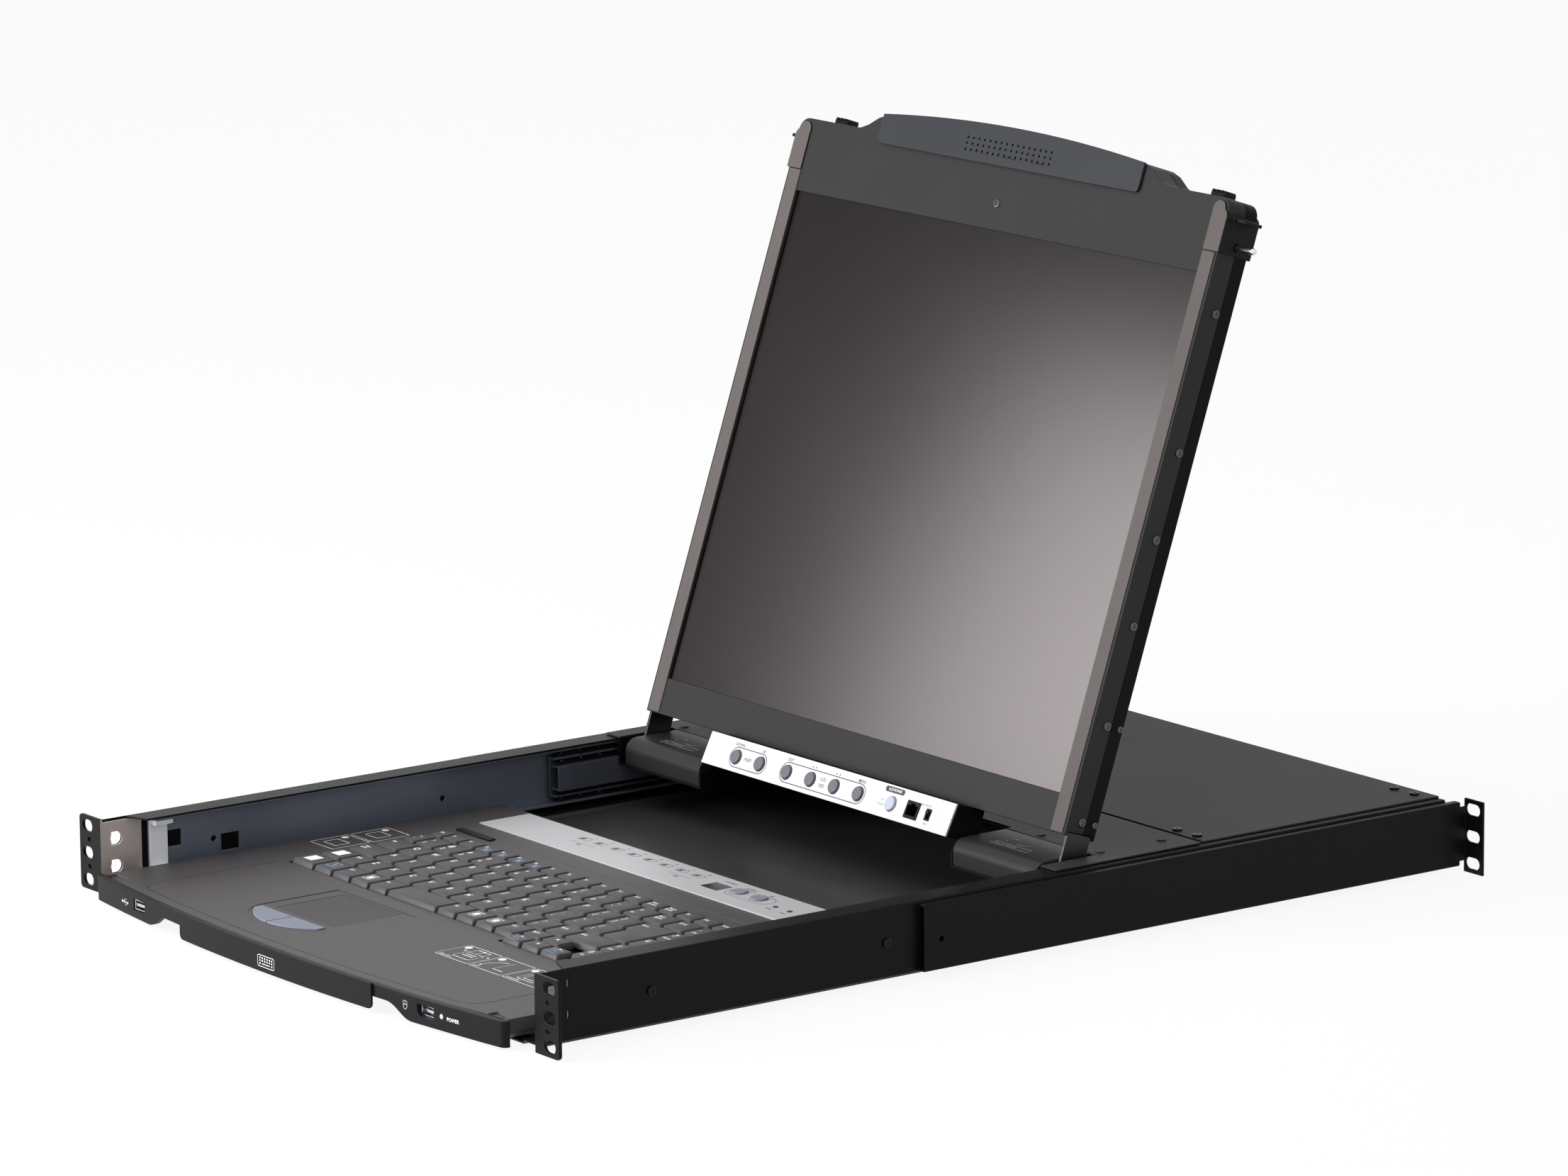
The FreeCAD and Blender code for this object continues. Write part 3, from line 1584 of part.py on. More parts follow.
# A key: its cap on a stem that goes down through the deck.
def one_key(left, front, width, depth):
    middle_x, middle_y = left + width / 2, front + depth / 2
    low, high = S.deckTop - 2.6, S.keyTop - S.keyBody
    stem = box((middle_x - 2, middle_x + 2), (middle_y - 2, middle_y + 2), (low, high))
    return fuse(key_cap(left, front, width, depth), stem)


def enter_key():
    lower, upper = (S.keyPitch * units - S.keyGap for units in ENTER_UNITS)
    low_left, high_left = main_right - lower, main_right - upper
    home, tab = row_front(2), row_front(3)
    step = key_cap(high_left, tab, upper, row_depth(3))
    return fuse(
        one_key(low_left, home, lower, row_depth(2)),
        key_cap(low_left, home, lower, S.keyPitch * 2 - S.keyGap),
        step,
    )


def key_row(number):
    name, units = KEY_ROWS[number]
    front, depth = row_front(number), row_depth(number)
    left = S.keysLeft + S.keyGap
    solids = []
    for unit in units:
        solids.append(one_key(left, front, S.keyPitch * unit - S.keyGap, depth))
        left = left + S.keyPitch * unit
    if name == "keys_home_row":
        solids.append(enter_key())
    if name == "keys_space_row":
        for column, row in ARROW_KEYS:
            left = arrows_left + S.keyGap + S.keyPitch * (ARROW_UNIT * column)
            width = S.keyPitch * ARROW_UNIT - S.keyGap
            solids.append(one_key(left, arrow_front(row), width, S.arrowDepth))
    for column in range(PAD_COLUMNS):
        left = main_right + S.keyGap + S.padPitch * column
        solids.append(one_key(left, front, S.padPitch - S.keyGap, depth))
    keep(name, *solids)


def touchpad():
    under = S.trayTop - S.traySheet
    pad = box((S.padLeft, S.padRight), (S.padFront, S.padRear), (under, S.trayTop - 0.4))
    board = box((S.padLeft - 4, S.padRight + 4), (S.padFront - 3, S.padRear + 4), (under - 1.6, under))
    keep("touchpad", fuse(pad, board))


WINDOW = (39.3, 249.3, 16.0, 12.6)
STRIP_BUTTONS = [("strip_button_left", 58.6, 250.6), ("strip_button_right", 77.7, 250.6)]
STRIP_BUTTON = 5.3
STRIP_LAMPS = [(98.4, 247.0), (111.8, 247.0)]


def strip_face():
    top = S.trayTop + S.stripSheet
    plate = box((-S.stripHalf, S.stripHalf), (S.stripFront, S.stripRear), (S.trayTop, top))
    low, high = S.trayTop - past, top + past
    x, y, width, depth = WINDOW
    tools = [box((x - width / 2, x + width / 2), (y - depth / 2, y + depth / 2), (low, high))]
    for name, x, y in STRIP_BUTTONS:
        tools.append(bar("Z", (dim(x), dim(y)), STRIP_BUTTON + S.play, low, high))
    for x, y in STRIP_LAMPS:
        tools.append(bar("Z", (dim(x), dim(y)), 1.7, low, high))
    keep("strip_face", cut(plate, *tools))


def strip_buttons():
    top = S.trayTop + S.stripSheet
    for name, x, y in STRIP_BUTTONS:
        head = bar("Z", (dim(x), dim(y)), STRIP_BUTTON, S.trayTop - 1.5, top + 1.1)
        stem = bar("Z", (dim(x), dim(y)), 1.5, S.trayTop - 5, S.trayTop - 1.4)
        keep(name, fuse(head, stem))


# The display window and the lamps, on a board under the strip.
def strip_lamps():
    x, y, width, depth = WINDOW
    top = S.trayTop + S.stripSheet
    under = S.trayTop - S.traySheet
    gap = 0.1
    board = box(
        (-S.stripHalf + 55, S.stripHalf - 20), (S.stripFront + 7, S.stripRear - 8), (under - 6.4, under - 5.2)
    )
    post = box(
        (S.stripHalf - 30, S.stripHalf - 22),
        (S.stripFront + 4, S.stripFront + 9),
        (under - 6.4, under),
    )
    glass = box(
        (x - width / 2 + gap, x + width / 2 - gap),
        (y - depth / 2 + gap, y + depth / 2 - gap),
        (under - 5.2, top - 0.1),
    )
    lamps = [bar("Z", (dim(a), dim(b)), 1.6, under - 5.2, top + 0.3) for a, b in STRIP_LAMPS]
    keep("strip_lamps", fuse(board, post, glass, *lamps))


# ---------------------------------------------------------------- all sub-parts
def build_all():
    side_channels()
    front_ears()
    bottom_pan()
    slide_outers()
    slide_bumpers()
    keyboard_rails()
    rear_box()
    rear_sockets()
    rear_lid()
    chassis_screws()
    rear_brackets()
    slide_middles()
    ball_cages()
    keyboard_middles()
    slide_inners()
    carriage_tray()
    carriage_lid()
    hinge_covers()
    hinge_mounts()
    head_front()
    head_rear()
    screen()
    lcd_module()
    side_strips()
    corner_caps()
    head_handle()
    hinge_arms()
    head_screws()
    latches()
    panel_box()
    panel_face()
    panel_jack()
    panel_buttons()
    tray_pan()
    tray_top()
    front_bezel()
    strip_face()
    strip_lamps()
    strip_buttons()
    key_plate()
    touchpad()
    touch_buttons()
    usb_ports()
    tray_runners()
    for number in range(len(KEY_ROWS)):
        key_row(number)


def check_and_write():
    doc.recompute()
    failed = [thing.Name for thing in doc.Objects if "Invalid" in thing.State or "Error" in thing.State]
    if failed:
        raise RuntimeError(f"features failed: {failed}")
    for node in nodes:
        if node.Shape.isNull() or not node.Shape.isValid() or not node.Shape.Solids:
            raise RuntimeError(f"bad shape: {node.Label}")
    os.makedirs("parts", exist_ok=True)
    for node in nodes:
        node.Shape.exportStep(os.path.join("parts", f"{node.Label}.step"))
    print(len(nodes), "sub-parts,", sum(len(node.Shape.Solids) for node in nodes), "solids")


build_all()
check_and_write()
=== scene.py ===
import json
import math

import bpy
from mathutils import Matrix, Vector

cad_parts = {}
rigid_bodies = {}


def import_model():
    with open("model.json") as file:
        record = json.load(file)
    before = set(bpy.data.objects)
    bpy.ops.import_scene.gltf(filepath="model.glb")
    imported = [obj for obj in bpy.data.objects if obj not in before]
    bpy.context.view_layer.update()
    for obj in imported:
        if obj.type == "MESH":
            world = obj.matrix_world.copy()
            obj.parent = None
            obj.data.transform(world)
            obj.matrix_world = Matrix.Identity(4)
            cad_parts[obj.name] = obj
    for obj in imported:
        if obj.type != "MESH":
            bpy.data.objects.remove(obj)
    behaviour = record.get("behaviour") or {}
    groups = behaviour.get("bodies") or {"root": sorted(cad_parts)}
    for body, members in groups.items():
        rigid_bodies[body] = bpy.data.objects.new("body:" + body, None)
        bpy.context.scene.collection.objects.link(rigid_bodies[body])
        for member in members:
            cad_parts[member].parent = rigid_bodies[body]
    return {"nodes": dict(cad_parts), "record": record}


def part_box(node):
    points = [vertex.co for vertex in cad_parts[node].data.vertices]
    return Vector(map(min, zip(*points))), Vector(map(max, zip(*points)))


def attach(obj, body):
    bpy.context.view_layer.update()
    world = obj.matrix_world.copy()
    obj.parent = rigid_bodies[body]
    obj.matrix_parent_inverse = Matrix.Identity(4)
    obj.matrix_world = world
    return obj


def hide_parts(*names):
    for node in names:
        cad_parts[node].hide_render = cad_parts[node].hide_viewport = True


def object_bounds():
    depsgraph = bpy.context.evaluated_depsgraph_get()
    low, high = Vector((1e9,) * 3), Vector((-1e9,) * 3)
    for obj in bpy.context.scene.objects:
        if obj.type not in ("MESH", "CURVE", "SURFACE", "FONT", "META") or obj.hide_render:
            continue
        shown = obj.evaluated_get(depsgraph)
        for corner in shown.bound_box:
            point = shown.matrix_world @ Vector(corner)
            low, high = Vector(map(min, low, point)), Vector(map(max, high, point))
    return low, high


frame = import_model()
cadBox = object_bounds()

mm = 0.001
hingeAt = Vector((0, 376, 10)) * mm
leanBack = math.radians(19.0)
panelLean = math.radians(7.3)
headPlace = Matrix.Translation(hingeAt) @ Matrix.Rotation(-leanBack, 4, "X")
panelCorner = Matrix.Translation(Vector((0, -25.8, 4.4)) * mm)
panelPlace = headPlace @ panelCorner @ Matrix.Rotation(-panelLean, 4, "X")
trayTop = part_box("tray_top")[1].z
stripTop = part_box("strip_face")[1].z
bezelBow = {"half": 206.0, "rise": 14.0, "middle": -25.0}


# Shader values that can be added and multiplied, and the nodes that they come from.
class Flow:
    def __init__(self, paint, socket):
        self.paint = paint
        self.socket = socket

    def maths(self, operation, *terms):
        return self.paint.node("ShaderNodeMath", {"operation": operation}, dict(enumerate(terms)))

    def __add__(self, other):
        return self.maths("ADD", self, other)

    def __radd__(self, other):
        return self.maths("ADD", other, self)

    def __mul__(self, other):
        return self.maths("MULTIPLY", self, other)

    def above(self, low, high):
        sockets = {"Value": self, "From Min": low, "From Max": high}
        return self.paint.node("ShaderNodeMapRange", {"interpolation_type": "SMOOTHSTEP"}, sockets)


class Paint:
    def __init__(self, name, constants):
        self.material = bpy.data.materials.new(name)
        self.material.use_nodes = True
        self.tree = self.material.node_tree
        self.shader = self.tree.nodes["Principled BSDF"]
        for socket, value in constants.items():
            self.shader.inputs[socket].default_value = value

    def feed(self, socket, value):
        if isinstance(value, Flow):
            self.tree.links.new(value.socket, socket)
        else:
            socket.default_value = value

    def node(self, kind, settings=None, sockets=None, output=0):
        made = self.tree.nodes.new(kind)
        for name, value in (settings or {}).items():
            setattr(made, name, value)
        for name, value in (sockets or {}).items():
            self.feed(made.inputs[name], value)
        return Flow(self, made.outputs[output])

    def spots(self, size, detail, roughness=0.55):
        where = self.node("ShaderNodeTexCoord", output="Object")
        sockets = {"Vector": where, "Scale": 1 / size, "Detail": detail, "Roughness": roughness}
        return self.node("ShaderNodeTexNoise", {}, sockets)

    def blend(self, share, low, high):
        sockets = {0: share, 6: low, 7: high}
        return self.node("ShaderNodeMix", {"data_type": "RGBA"}, sockets, output=2)

    def set(self, socket, value):
        self.feed(self.shader.inputs[socket], value)

    def relief(self, height, strength, distance):
        sockets = {"Height": height, "Strength": strength, "Distance": distance}
        self.set("Normal", self.node("ShaderNodeBump", {}, sockets))


def tone(red, green, blue):
    def linear(level):
        level /= 255
        return level / 12.92 if level <= 0.04045 else ((level + 0.055) / 1.055) ** 2.4

    return (linear(red), linear(green), linear(blue), 1.0)


def shade(colour, factor):
    return tuple(channel * factor for channel in colour[:3]) + (1.0,)


coatGrain = {
    "cloud": 60.0, "grain": 0.35, "roughness": 0.7, "depth": 0.02, "fleckLow": 0.62, "fleckHigh": 0.74,
}
plateGrain = {"cloud": 40.0, "grain": 0.6, "bump": 0.06, "depth": 0.01}


# A coat of paint or a moulded plastic: cloudy colour, fine grain in the gloss and in the surface.
def coated(name, colour, look):
    constants = {"Specular IOR Level": look.get("specular", 0.4), "Metallic": look.get("metal", 0.0)}
    paint = Paint(name, constants)
    cloud = paint.spots(coatGrain["cloud"] * mm, 2.0)
    grain = paint.spots(coatGrain["grain"] * mm, 2.0, coatGrain["roughness"])
    spread = look.get("spread", 0.12)
    base = paint.blend(cloud, shade(colour, 1 - spread), shade(colour, 1 + spread))
    fleck = grain.above(coatGrain["fleckLow"], coatGrain["fleckHigh"]) * look.get("fleck", 0.0)
    paint.set("Base Color", paint.blend(fleck, base, shade(colour, 2.2)))
    roughness = look.get("roughness", 0.45)
    paint.set("Roughness", roughness - 0.05 + cloud * 0.06 + grain * 0.06)
    paint.relief(grain, look.get("bump", 0.12), coatGrain["depth"] * mm)
    return paint.material


paints = {
    "channel": coated(
        "blackPowderCoat", tone(17, 17, 18), {"roughness": 0.36, "specular": 0.08, "bump": 0.1}),
    "ear": coated("earPaint", tone(13, 13, 14), {"roughness": 0.32, "specular": 0.1}),
    "lid": coated(
        "lidPaint", tone(46, 46, 48), {"roughness": 0.5, "specular": 0.1, "fleck": 0.2, "bump": 0.2}),
    "pan": coated("panPaint", tone(50, 48, 49), {"roughness": 0.34, "specular": 0.4}),
    "cover": coated("coverPlastic", tone(33, 33, 35), {"roughness": 0.42, "specular": 0.16}),
    "frame": coated(
        "framePaint", tone(43, 42, 43), {"roughness": 0.5, "specular": 0.1, "fleck": 0.1, "bump": 0.2}),
    "rearShell": coated("rearShellPaint", tone(13, 13, 14), {"roughness": 0.42, "specular": 0.06}),
    "handle": coated("handlePlastic", tone(37, 39, 44), {"roughness": 0.42, "specular": 0.22}),
    "edging": coated("edgingPlastic", tone(84, 79, 78), {"roughness": 0.5, "specular": 0.12}),
    "corner": coated("cornerPlastic", tone(17, 17, 18), {"roughness": 0.4, "specular": 0.12}),
    "shell": coated("shellPlastic", tone(55, 52, 53), {"roughness": 0.44, "specular": 0.36, "bump": 0.18}),
    "bezel": coated("bezelPlastic", tone(25, 25, 27), {"roughness": 0.38, "specular": 0.08}),
    "deck": coated("deckPlastic", tone(30, 30, 31), {"roughness": 0.6, "specular": 0.2}),
    "keys": coated("keyPlastic", tone(67, 65, 67), {"roughness": 0.46, "specular": 0.25, "bump": 0.16}),
    "pad": coated("touchSurface", tone(54, 52, 54), {"roughness": 0.5, "specular": 0.3}),
    "crescent": coated("crescentPlastic", tone(112, 116, 132), {"roughness": 0.4, "specular": 0.3}),
    "silver": coated("silverPaint", tone(188, 187, 190), {"roughness": 0.42, "metal": 0.35, "spread": 0.06}),
    "panel": coated("panelWhite", tone(200, 198, 200), {"roughness": 0.42, "specular": 0.3, "spread": 0.03}),
    "button": coated("buttonPlastic", tone(86, 88, 96), {"roughness": 0.4, "specular": 0.4}),
    "paleButton": coated("paleButtonPlastic", tone(168, 172, 190), {"roughness": 0.4, "specular": 0.4}),
    "stripButton": coated("stripButtonPlastic", tone(122, 125, 136), {"roughness": 0.4, "specular": 0.4}),
    "bumper": coated("bumperPlastic", tone(247, 249, 252), {"roughness": 0.45, "spread": 0.03}),
    "tongue": coated("portWhite", tone(214, 212, 206), {"roughness": 0.5, "spread": 0.05}),
    "black": coated("blackPlastic", tone(14, 14, 15), {"roughness": 0.42, "specular": 0.12}),
    "ink": coated("whiteInk", tone(236, 236, 236), {"roughness": 0.55, "spread": 0.04}),
    "greyInk": coated("greyInk", tone(120, 120, 122), {"roughness": 0.55, "spread": 0.08}),
    "darkInk": coated("darkInk", tone(44, 44, 48), {"roughness": 0.55, "spread": 0.08}),
    "blueInk": coated("blueInk", tone(122, 158, 190), {"roughness": 0.55, "spread": 0.05}),
}


# Rolled and plated sheet: metal with soft clouds in its colour and gloss.
def plated(name, colour, look):
    paint = Paint(name, {"Metallic": look.get("metal", 1.0)})
    cloud = paint.spots(look.get("cloud", plateGrain["cloud"]) * mm, 4.0)
    grain = paint.spots(plateGrain["grain"] * mm, 2.0)
    spread = look.get("spread", 0.25)
    paint.set("Base Color", paint.blend(cloud, shade(colour, 1 - spread), shade(colour, 1 + spread)))
    paint.set("Roughness", look.get("roughness", 0.3) - 0.06 + cloud * 0.12 + grain * 0.04)
    paint.relief(grain, plateGrain["bump"], plateGrain["depth"] * mm)
    return paint.material


paints["zinc"] = plated("zincPlate", tone(128, 134, 148), {"roughness": 0.36, "metal": 0.6, "cloud": 90})
paints["innerZinc"] = plated("innerZincPlate", tone(108, 114, 126), {"roughness": 0.36, "metal": 0.7})
paints["steel"] = plated("darkSteel", tone(60, 60, 62), {"roughness": 0.36})
paints["earSteel"] = plated("earSteel", tone(212, 200, 194), {"roughness": 0.34, "metal": 0.65})
paints["bright"] = plated("brightSteel", tone(214, 216, 220), {"roughness": 0.16, "spread": 0.05})
paints["screws"] = plated("screwSteel", tone(84, 84, 88), {"roughness": 0.3})
paints["darkScrews"] = plated("darkScrewSteel", tone(36, 36, 38), {"roughness": 0.34})


# The matt film over the panel: near black, with a faint grain that spreads the light it mirrors.
def screenFilm():
    paint = Paint("screenFilm", {"Specular IOR Level": 0.05})
    cloud = paint.spots(120 * mm, 1.0)
    grain = paint.spots(0.25 * mm, 1.0)
    paint.set("Base Color", paint.blend(cloud, tone(10, 9, 10), tone(13, 11, 12)))
    paint.set("Roughness", 0.25 + cloud * 0.02 + grain * 0.02)
    paint.relief(grain, 0.05, 0.01 * mm)
    return paint.material


# Smoked clear plastic for the display window and the lamps.
def smoked():
    paint = Paint("smokedWindow", {"Specular IOR Level": 0.6})
    cloud = paint.spots(8 * mm, 1.0)
    paint.set("Base Color", paint.blend(cloud, tone(18, 16, 15), tone(34, 27, 24)))
    paint.set("Roughness", 0.12 + cloud * 0.06)
    return paint.material


paints["screen"] = screenFilm()
paints["smoked"] = smoked()
print("stage: materials")


# The body that moves each node.
bodyMembers = frame["record"]["behaviour"]["bodies"]
nodeBody = {node: body for body, members in bodyMembers.items() for node in members}


def pickOnly(*pieces):
    bpy.ops.object.select_all(action="DESELECT")
    for piece in pieces:
        piece.select_set(True)
    bpy.context.view_layer.objects.active = pieces[0]


def settle(piece, place=None):
    if place is not None:
        piece.matrix_world = place @ piece.matrix_world
    pickOnly(piece)
    bpy.ops.object.transform_apply(location=True, rotation=True, scale=True)
    return piece


def joined(name, pieces):
    pickOnly(*pieces)
    if len(pieces) > 1:
        bpy.ops.object.join()
    bpy.context.active_object.name = name
    return bpy.context.active_object


# The piece takes a finish and moves with the body of a node; it may also stand for nodes.
def fit(piece, paintName, node, standsFor=()):
    piece.data.materials.clear()
    piece.data.materials.append(paints[paintName])
    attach(piece, nodeBody[node])
    if standsFor:
        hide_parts(*standsFor)
    return piece


def plainName(node):
    first, *rest = node.split("_")
    return first + "".join(word.capitalize() for word in rest)


def mergedCopy(node):
    source = frame["nodes"][node]
    piece = bpy.data.objects.new(plainName(node), source.data.copy())
    bpy.context.collection.objects.link(piece)
    pickOnly(piece)
    bpy.ops.object.mode_set(mode="EDIT")
    bpy.ops.mesh.select_all(action="SELECT")
    bpy.ops.mesh.remove_doubles(threshold=0.002 * mm)
    bpy.ops.mesh.dissolve_limited(angle_limit=math.radians(0.4))
    bpy.ops.object.mode_set(mode="OBJECT")
    return piece


def roundEdges(piece, edge, segments=2, angle=32):
    pickOnly(piece)
    bevel = piece.modifiers.new("edges", "BEVEL")
    bevel.width = edge * mm
    bevel.segments = segments
    bevel.limit_method = "ANGLE"
    bevel.angle_limit = math.radians(angle)
    bevel.use_clamp_overlap = False
    bpy.ops.object.modifier_apply(modifier=bevel.name)
    return smoothed(piece)


# Smooth over the rounded edges, with the flat faces kept flat.
def smoothed(piece, angle=50):
    pickOnly(piece)
    bpy.ops.object.shade_smooth_by_angle(angle=math.radians(angle))
    flat = piece.modifiers.new("flat", "WEIGHTED_NORMAL")
    flat.keep_sharp = True
    bpy.ops.object.modifier_apply(modifier=flat.name)
    return piece


# A sheet's corner edges that the test picks by their ends take a larger round than its other edges.
def roundCorners(piece, radius, test, steps=4):
    pickOnly(piece)
    weights = piece.data.attributes.new("bevel_weight_edge", "FLOAT", "EDGE")
    for edge in piece.data.edges:
        ends = [piece.data.vertices[index].co / mm for index in edge.vertices]
        weights.data[edge.index].value = 1.0 if test(*ends) else 0.0
    rounds = piece.modifiers.new("corners", "BEVEL")
    rounds.width, rounds.segments, rounds.limit_method = radius * mm, steps, "WEIGHT"
    bpy.ops.object.modifier_apply(modifier=rounds.name)
    piece.data.attributes.remove(piece.data.attributes["bevel_weight_edge"])
    return piece


def alongDepth(first, second):
    return abs(first.x - second.x) < 0.5 and abs(first.z - second.z) < 0.01 and abs(first.y - second.y) > 0.8


def earCorner(first, second):
    return alongDepth(first, second) and abs(first.x) > 241 and abs(first.z) > 21


def gripCorner(first, second):
    return alongDepth(first, second) and 96 < abs(first.x) < 98 and first.z < -19.5


def bezelEnd(first, second):
    atEnd = min(abs(first.x), abs(second.x)) > 205.9 and max(first.y, second.y) < -10
    return atEnd and abs(first.z - second.z) > 5


def reliefCorner(first, second):
    return alongDepth(first, second) and 110 < abs(first.x) < 136 and first.z < -12.5


# Radius in millimetres, and what picks the edges.
cornerRounds = {
    "front_ears": [(2.6, earCorner)],
    "front_bezel": [(3.2, gripCorner), (3.4, bezelEnd), (4.0, reliefCorner)],
}


def softened(node, paintName, edge, segments=2):
    piece = mergedCopy(node)
    for radius, test in cornerRounds.get(node, []):
        roundCorners(piece, radius, test)
    return fit(roundEdges(piece, edge, segments), paintName, node, [node])


def carve(piece, cutter, operation="DIFFERENCE"):
    pickOnly(piece)
    carving = piece.modifiers.new("carving", "BOOLEAN")
    carving.object = cutter
    carving.operation = operation
    carving.solver = "EXACT"
    bpy.ops.object.modifier_apply(modifier=carving.name)
    bpy.data.objects.remove(cutter)
    return piece


# The corners of each solid of a node, in the frame of place, from left to right.
def solidBoxes(node, place=None):
    piece = mergedCopy(node)
    bpy.ops.object.mode_set(mode="EDIT")
    bpy.ops.mesh.select_all(action="SELECT")
    bpy.ops.mesh.separate(type="LOOSE")
    bpy.ops.object.mode_set(mode="OBJECT")
    back = place.inverted() if place is not None else Matrix.Identity(4)
    boxes = []
    for solid in list(bpy.context.selected_objects):
        points = [back @ vertex.co for vertex in solid.data.vertices]
        low = Vector([min(point[axis] for point in points) for axis in range(3)])
        high = Vector([max(point[axis] for point in points) for axis in range(3)])
        boxes.append((low, high))
        bpy.data.objects.remove(solid)
    return sorted(boxes, key=lambda box: box[0].x)


# Lettering and line drawings are drawn in millimetres, on a surface whose X runs right and Y up.
markLook = {"textDepth": 0.02, "textBoldness": 0.012, "strokeHeight": 0.16, "spotHeight": 0.06, "lift": 0.01}


def lettering(text, size, x, y, place, align="LEFT"):
    bpy.ops.object.select_all(action="DESELECT")
    bpy.ops.object.text_add()
    label = bpy.context.active_object
    label.data.body = text
    label.data.size = size
    label.data.align_x = align
    label.data.align_y = "CENTER"
    label.data.extrude = markLook["textDepth"]
    label.data.offset = markLook["textBoldness"] * size
    label.data.resolution_u = 3
    bpy.ops.object.convert(target="MESH")
    return settle(label, place @ Matrix.Scale(mm, 4) @ Matrix.Translation((x, y, 0)))


def strokes(paths, width, place, closed=True):
    curve = bpy.data.curves.new("strokes", "CURVE")
    curve.dimensions = "3D"
    curve.twist_mode = "Z_UP"
    curve.bevel_depth = width / 2
    curve.bevel_resolution = 0
    for path in paths:
        spline = curve.splines.new("POLY")
        spline.points.add(len(path) - 1)
        for point, (x, y) in zip(spline.points, path):
            point.co = (x, y, 0, 1)
        spline.use_cyclic_u = closed
    curve.use_fill_caps = not closed
    drawing = bpy.data.objects.new("strokes", curve)
    bpy.context.collection.objects.link(drawing)
    pickOnly(drawing)
    bpy.ops.object.convert(target="MESH")
    flatten = Matrix.Scale(markLook["strokeHeight"] / width, 4, (0, 0, 1))
    return settle(bpy.context.active_object, place @ Matrix.Scale(mm, 4) @ flatten)


def spot(corners, radius, x, y, place, turn=0.0, stretch=1.0):
    bpy.ops.object.select_all(action="DESELECT")
    bpy.ops.mesh.primitive_cylinder_add(vertices=corners, radius=radius, depth=markLook["spotHeight"])
    shape = Matrix.Rotation(math.radians(turn), 4, "Z") @ Matrix.Scale(stretch, 4, (1, 0, 0))
    middle = place @ Matrix.Scale(mm, 4) @ Matrix.Translation((x, y, 0))
    return settle(bpy.context.active_object, middle @ shape)


def roundedBox(left, bottom, right, top, radius, steps=4):
    points = []
    corners = ((right - radius, top - radius, 0), (left + radius, top - radius, 90))
    corners += ((left + radius, bottom + radius, 180), (right - radius, bottom + radius, 270))
    for x, y, start in corners:
        for step in range(steps + 1):
            angle = math.radians(start + 90 * step / steps)
            points.append((x + radius * math.cos(angle), y + radius * math.sin(angle)))
    return points


def prismCutter(outline, low, high):
    bpy.ops.object.select_all(action="DESELECT")
    bpy.ops.mesh.primitive_circle_add(vertices=len(outline), radius=1, fill_type="NGON")
    cutter = bpy.context.active_object
    for vertex, (x, y) in zip(cutter.data.vertices, outline):
        vertex.co = (x, y, low)
    bpy.ops.object.mode_set(mode="EDIT")
    bpy.ops.mesh.select_all(action="SELECT")
    bpy.ops.mesh.extrude_region_move(TRANSFORM_OT_translate={"value": (0, 0, high - low)})
    bpy.ops.mesh.select_all(action="SELECT")
    bpy.ops.mesh.normals_make_consistent(inside=False)
    bpy.ops.object.mode_set(mode="OBJECT")
    return settle(cutter, Matrix.Scale(mm, 4))


def upright(origin=(0, 0, 0)):
    return Matrix.Translation(Vector(origin) * mm) @ Matrix.Rotation(math.radians(90), 4, "X")


# Chassis, slides and carriage keep their shape. Each has its paint, and its edges broken by so many mm.
sheetParts = {
    "side_channels": ("channel", 0.35), "front_ears": ("ear", 0.3), "bottom_pan": ("pan", 0.3),
    "rear_bracket_left": ("channel", 0.4), "rear_bracket_right": ("channel", 0.4),
    "rear_box": ("channel", 0.2), "rear_lid": ("lid", 0.3), "slide_outers": ("zinc", 0.25),
    "slide_middles": ("innerZinc", 0.2), "slide_inners": ("innerZinc", 0.2), "slide_bumpers": ("bumper", 0.5),
    "keyboard_rails": ("zinc", 0.15), "keyboard_middles": ("zinc", 0.15), "tray_runners": ("zinc", 0.2),
    "carriage_tray": ("channel", 0.15), "carriage_lid": ("lid", 0.3), "hinge_covers": ("cover", 0.9),
    "hinge_mounts": ("steel", 0.3), "hinge_arms": ("steel", 0.3), "rear_sockets": ("black", 0.25),
    "tray_pan": ("pan", 0.2), "key_plate": ("deck", 0.2), "chassis_screws": ("darkScrews", 0.12),
}
for node, (paintName, edge) in sheetParts.items():
    softened(node, paintName, edge)
print("stage: sheet metal")


# Some faces of a piece take a second finish: those that the test picks by middle and normal.
def secondFinish(node, paintName, test, place=None):
    piece = bpy.data.objects[plainName(node)]
    back = place.inverted() if place is not None else Matrix.Identity(4)
    piece.data.materials.append(paints[paintName])
    for face in piece.data.polygons:
        if test(back @ face.center / mm, back.to_3x3() @ face.normal):
            face.material_index = 1


def insideEar(middle, normal):
    return abs(middle.x) < 220.6 and middle.y > 2.6


secondFinish("front_ears", "earSteel", insideEar)

# These keep the CAD's own shape.
plainParts = {"ball_cages": "steel", "lcd_module": "steel", "screen": "screen", "strip_lamps": "smoked"}
for node, paintName in plainParts.items():
    cadNode = frame["nodes"][node]
    cadNode.data.materials.clear()
    cadNode.data.materials.append(paints[paintName])

# The screen head and its control panel, with the same two values.
headParts = {
    "head_front": ("frame", 0.5), "head_rear": ("rearShell", 0.5), "side_strips": ("edging", 0.25),
    "corner_caps": ("corner", 0.5), "head_handle": ("handle", 0.5), "panel_box": ("black", 0.4),
    "panel_face": ("panel", 0.2), "panel_jack": ("black", 0.15),
    "latch_left": ("bright", 0.2), "latch_right": ("bright", 0.2),
}
for node, (paintName, edge) in headParts.items():
    softened(node, paintName, edge)


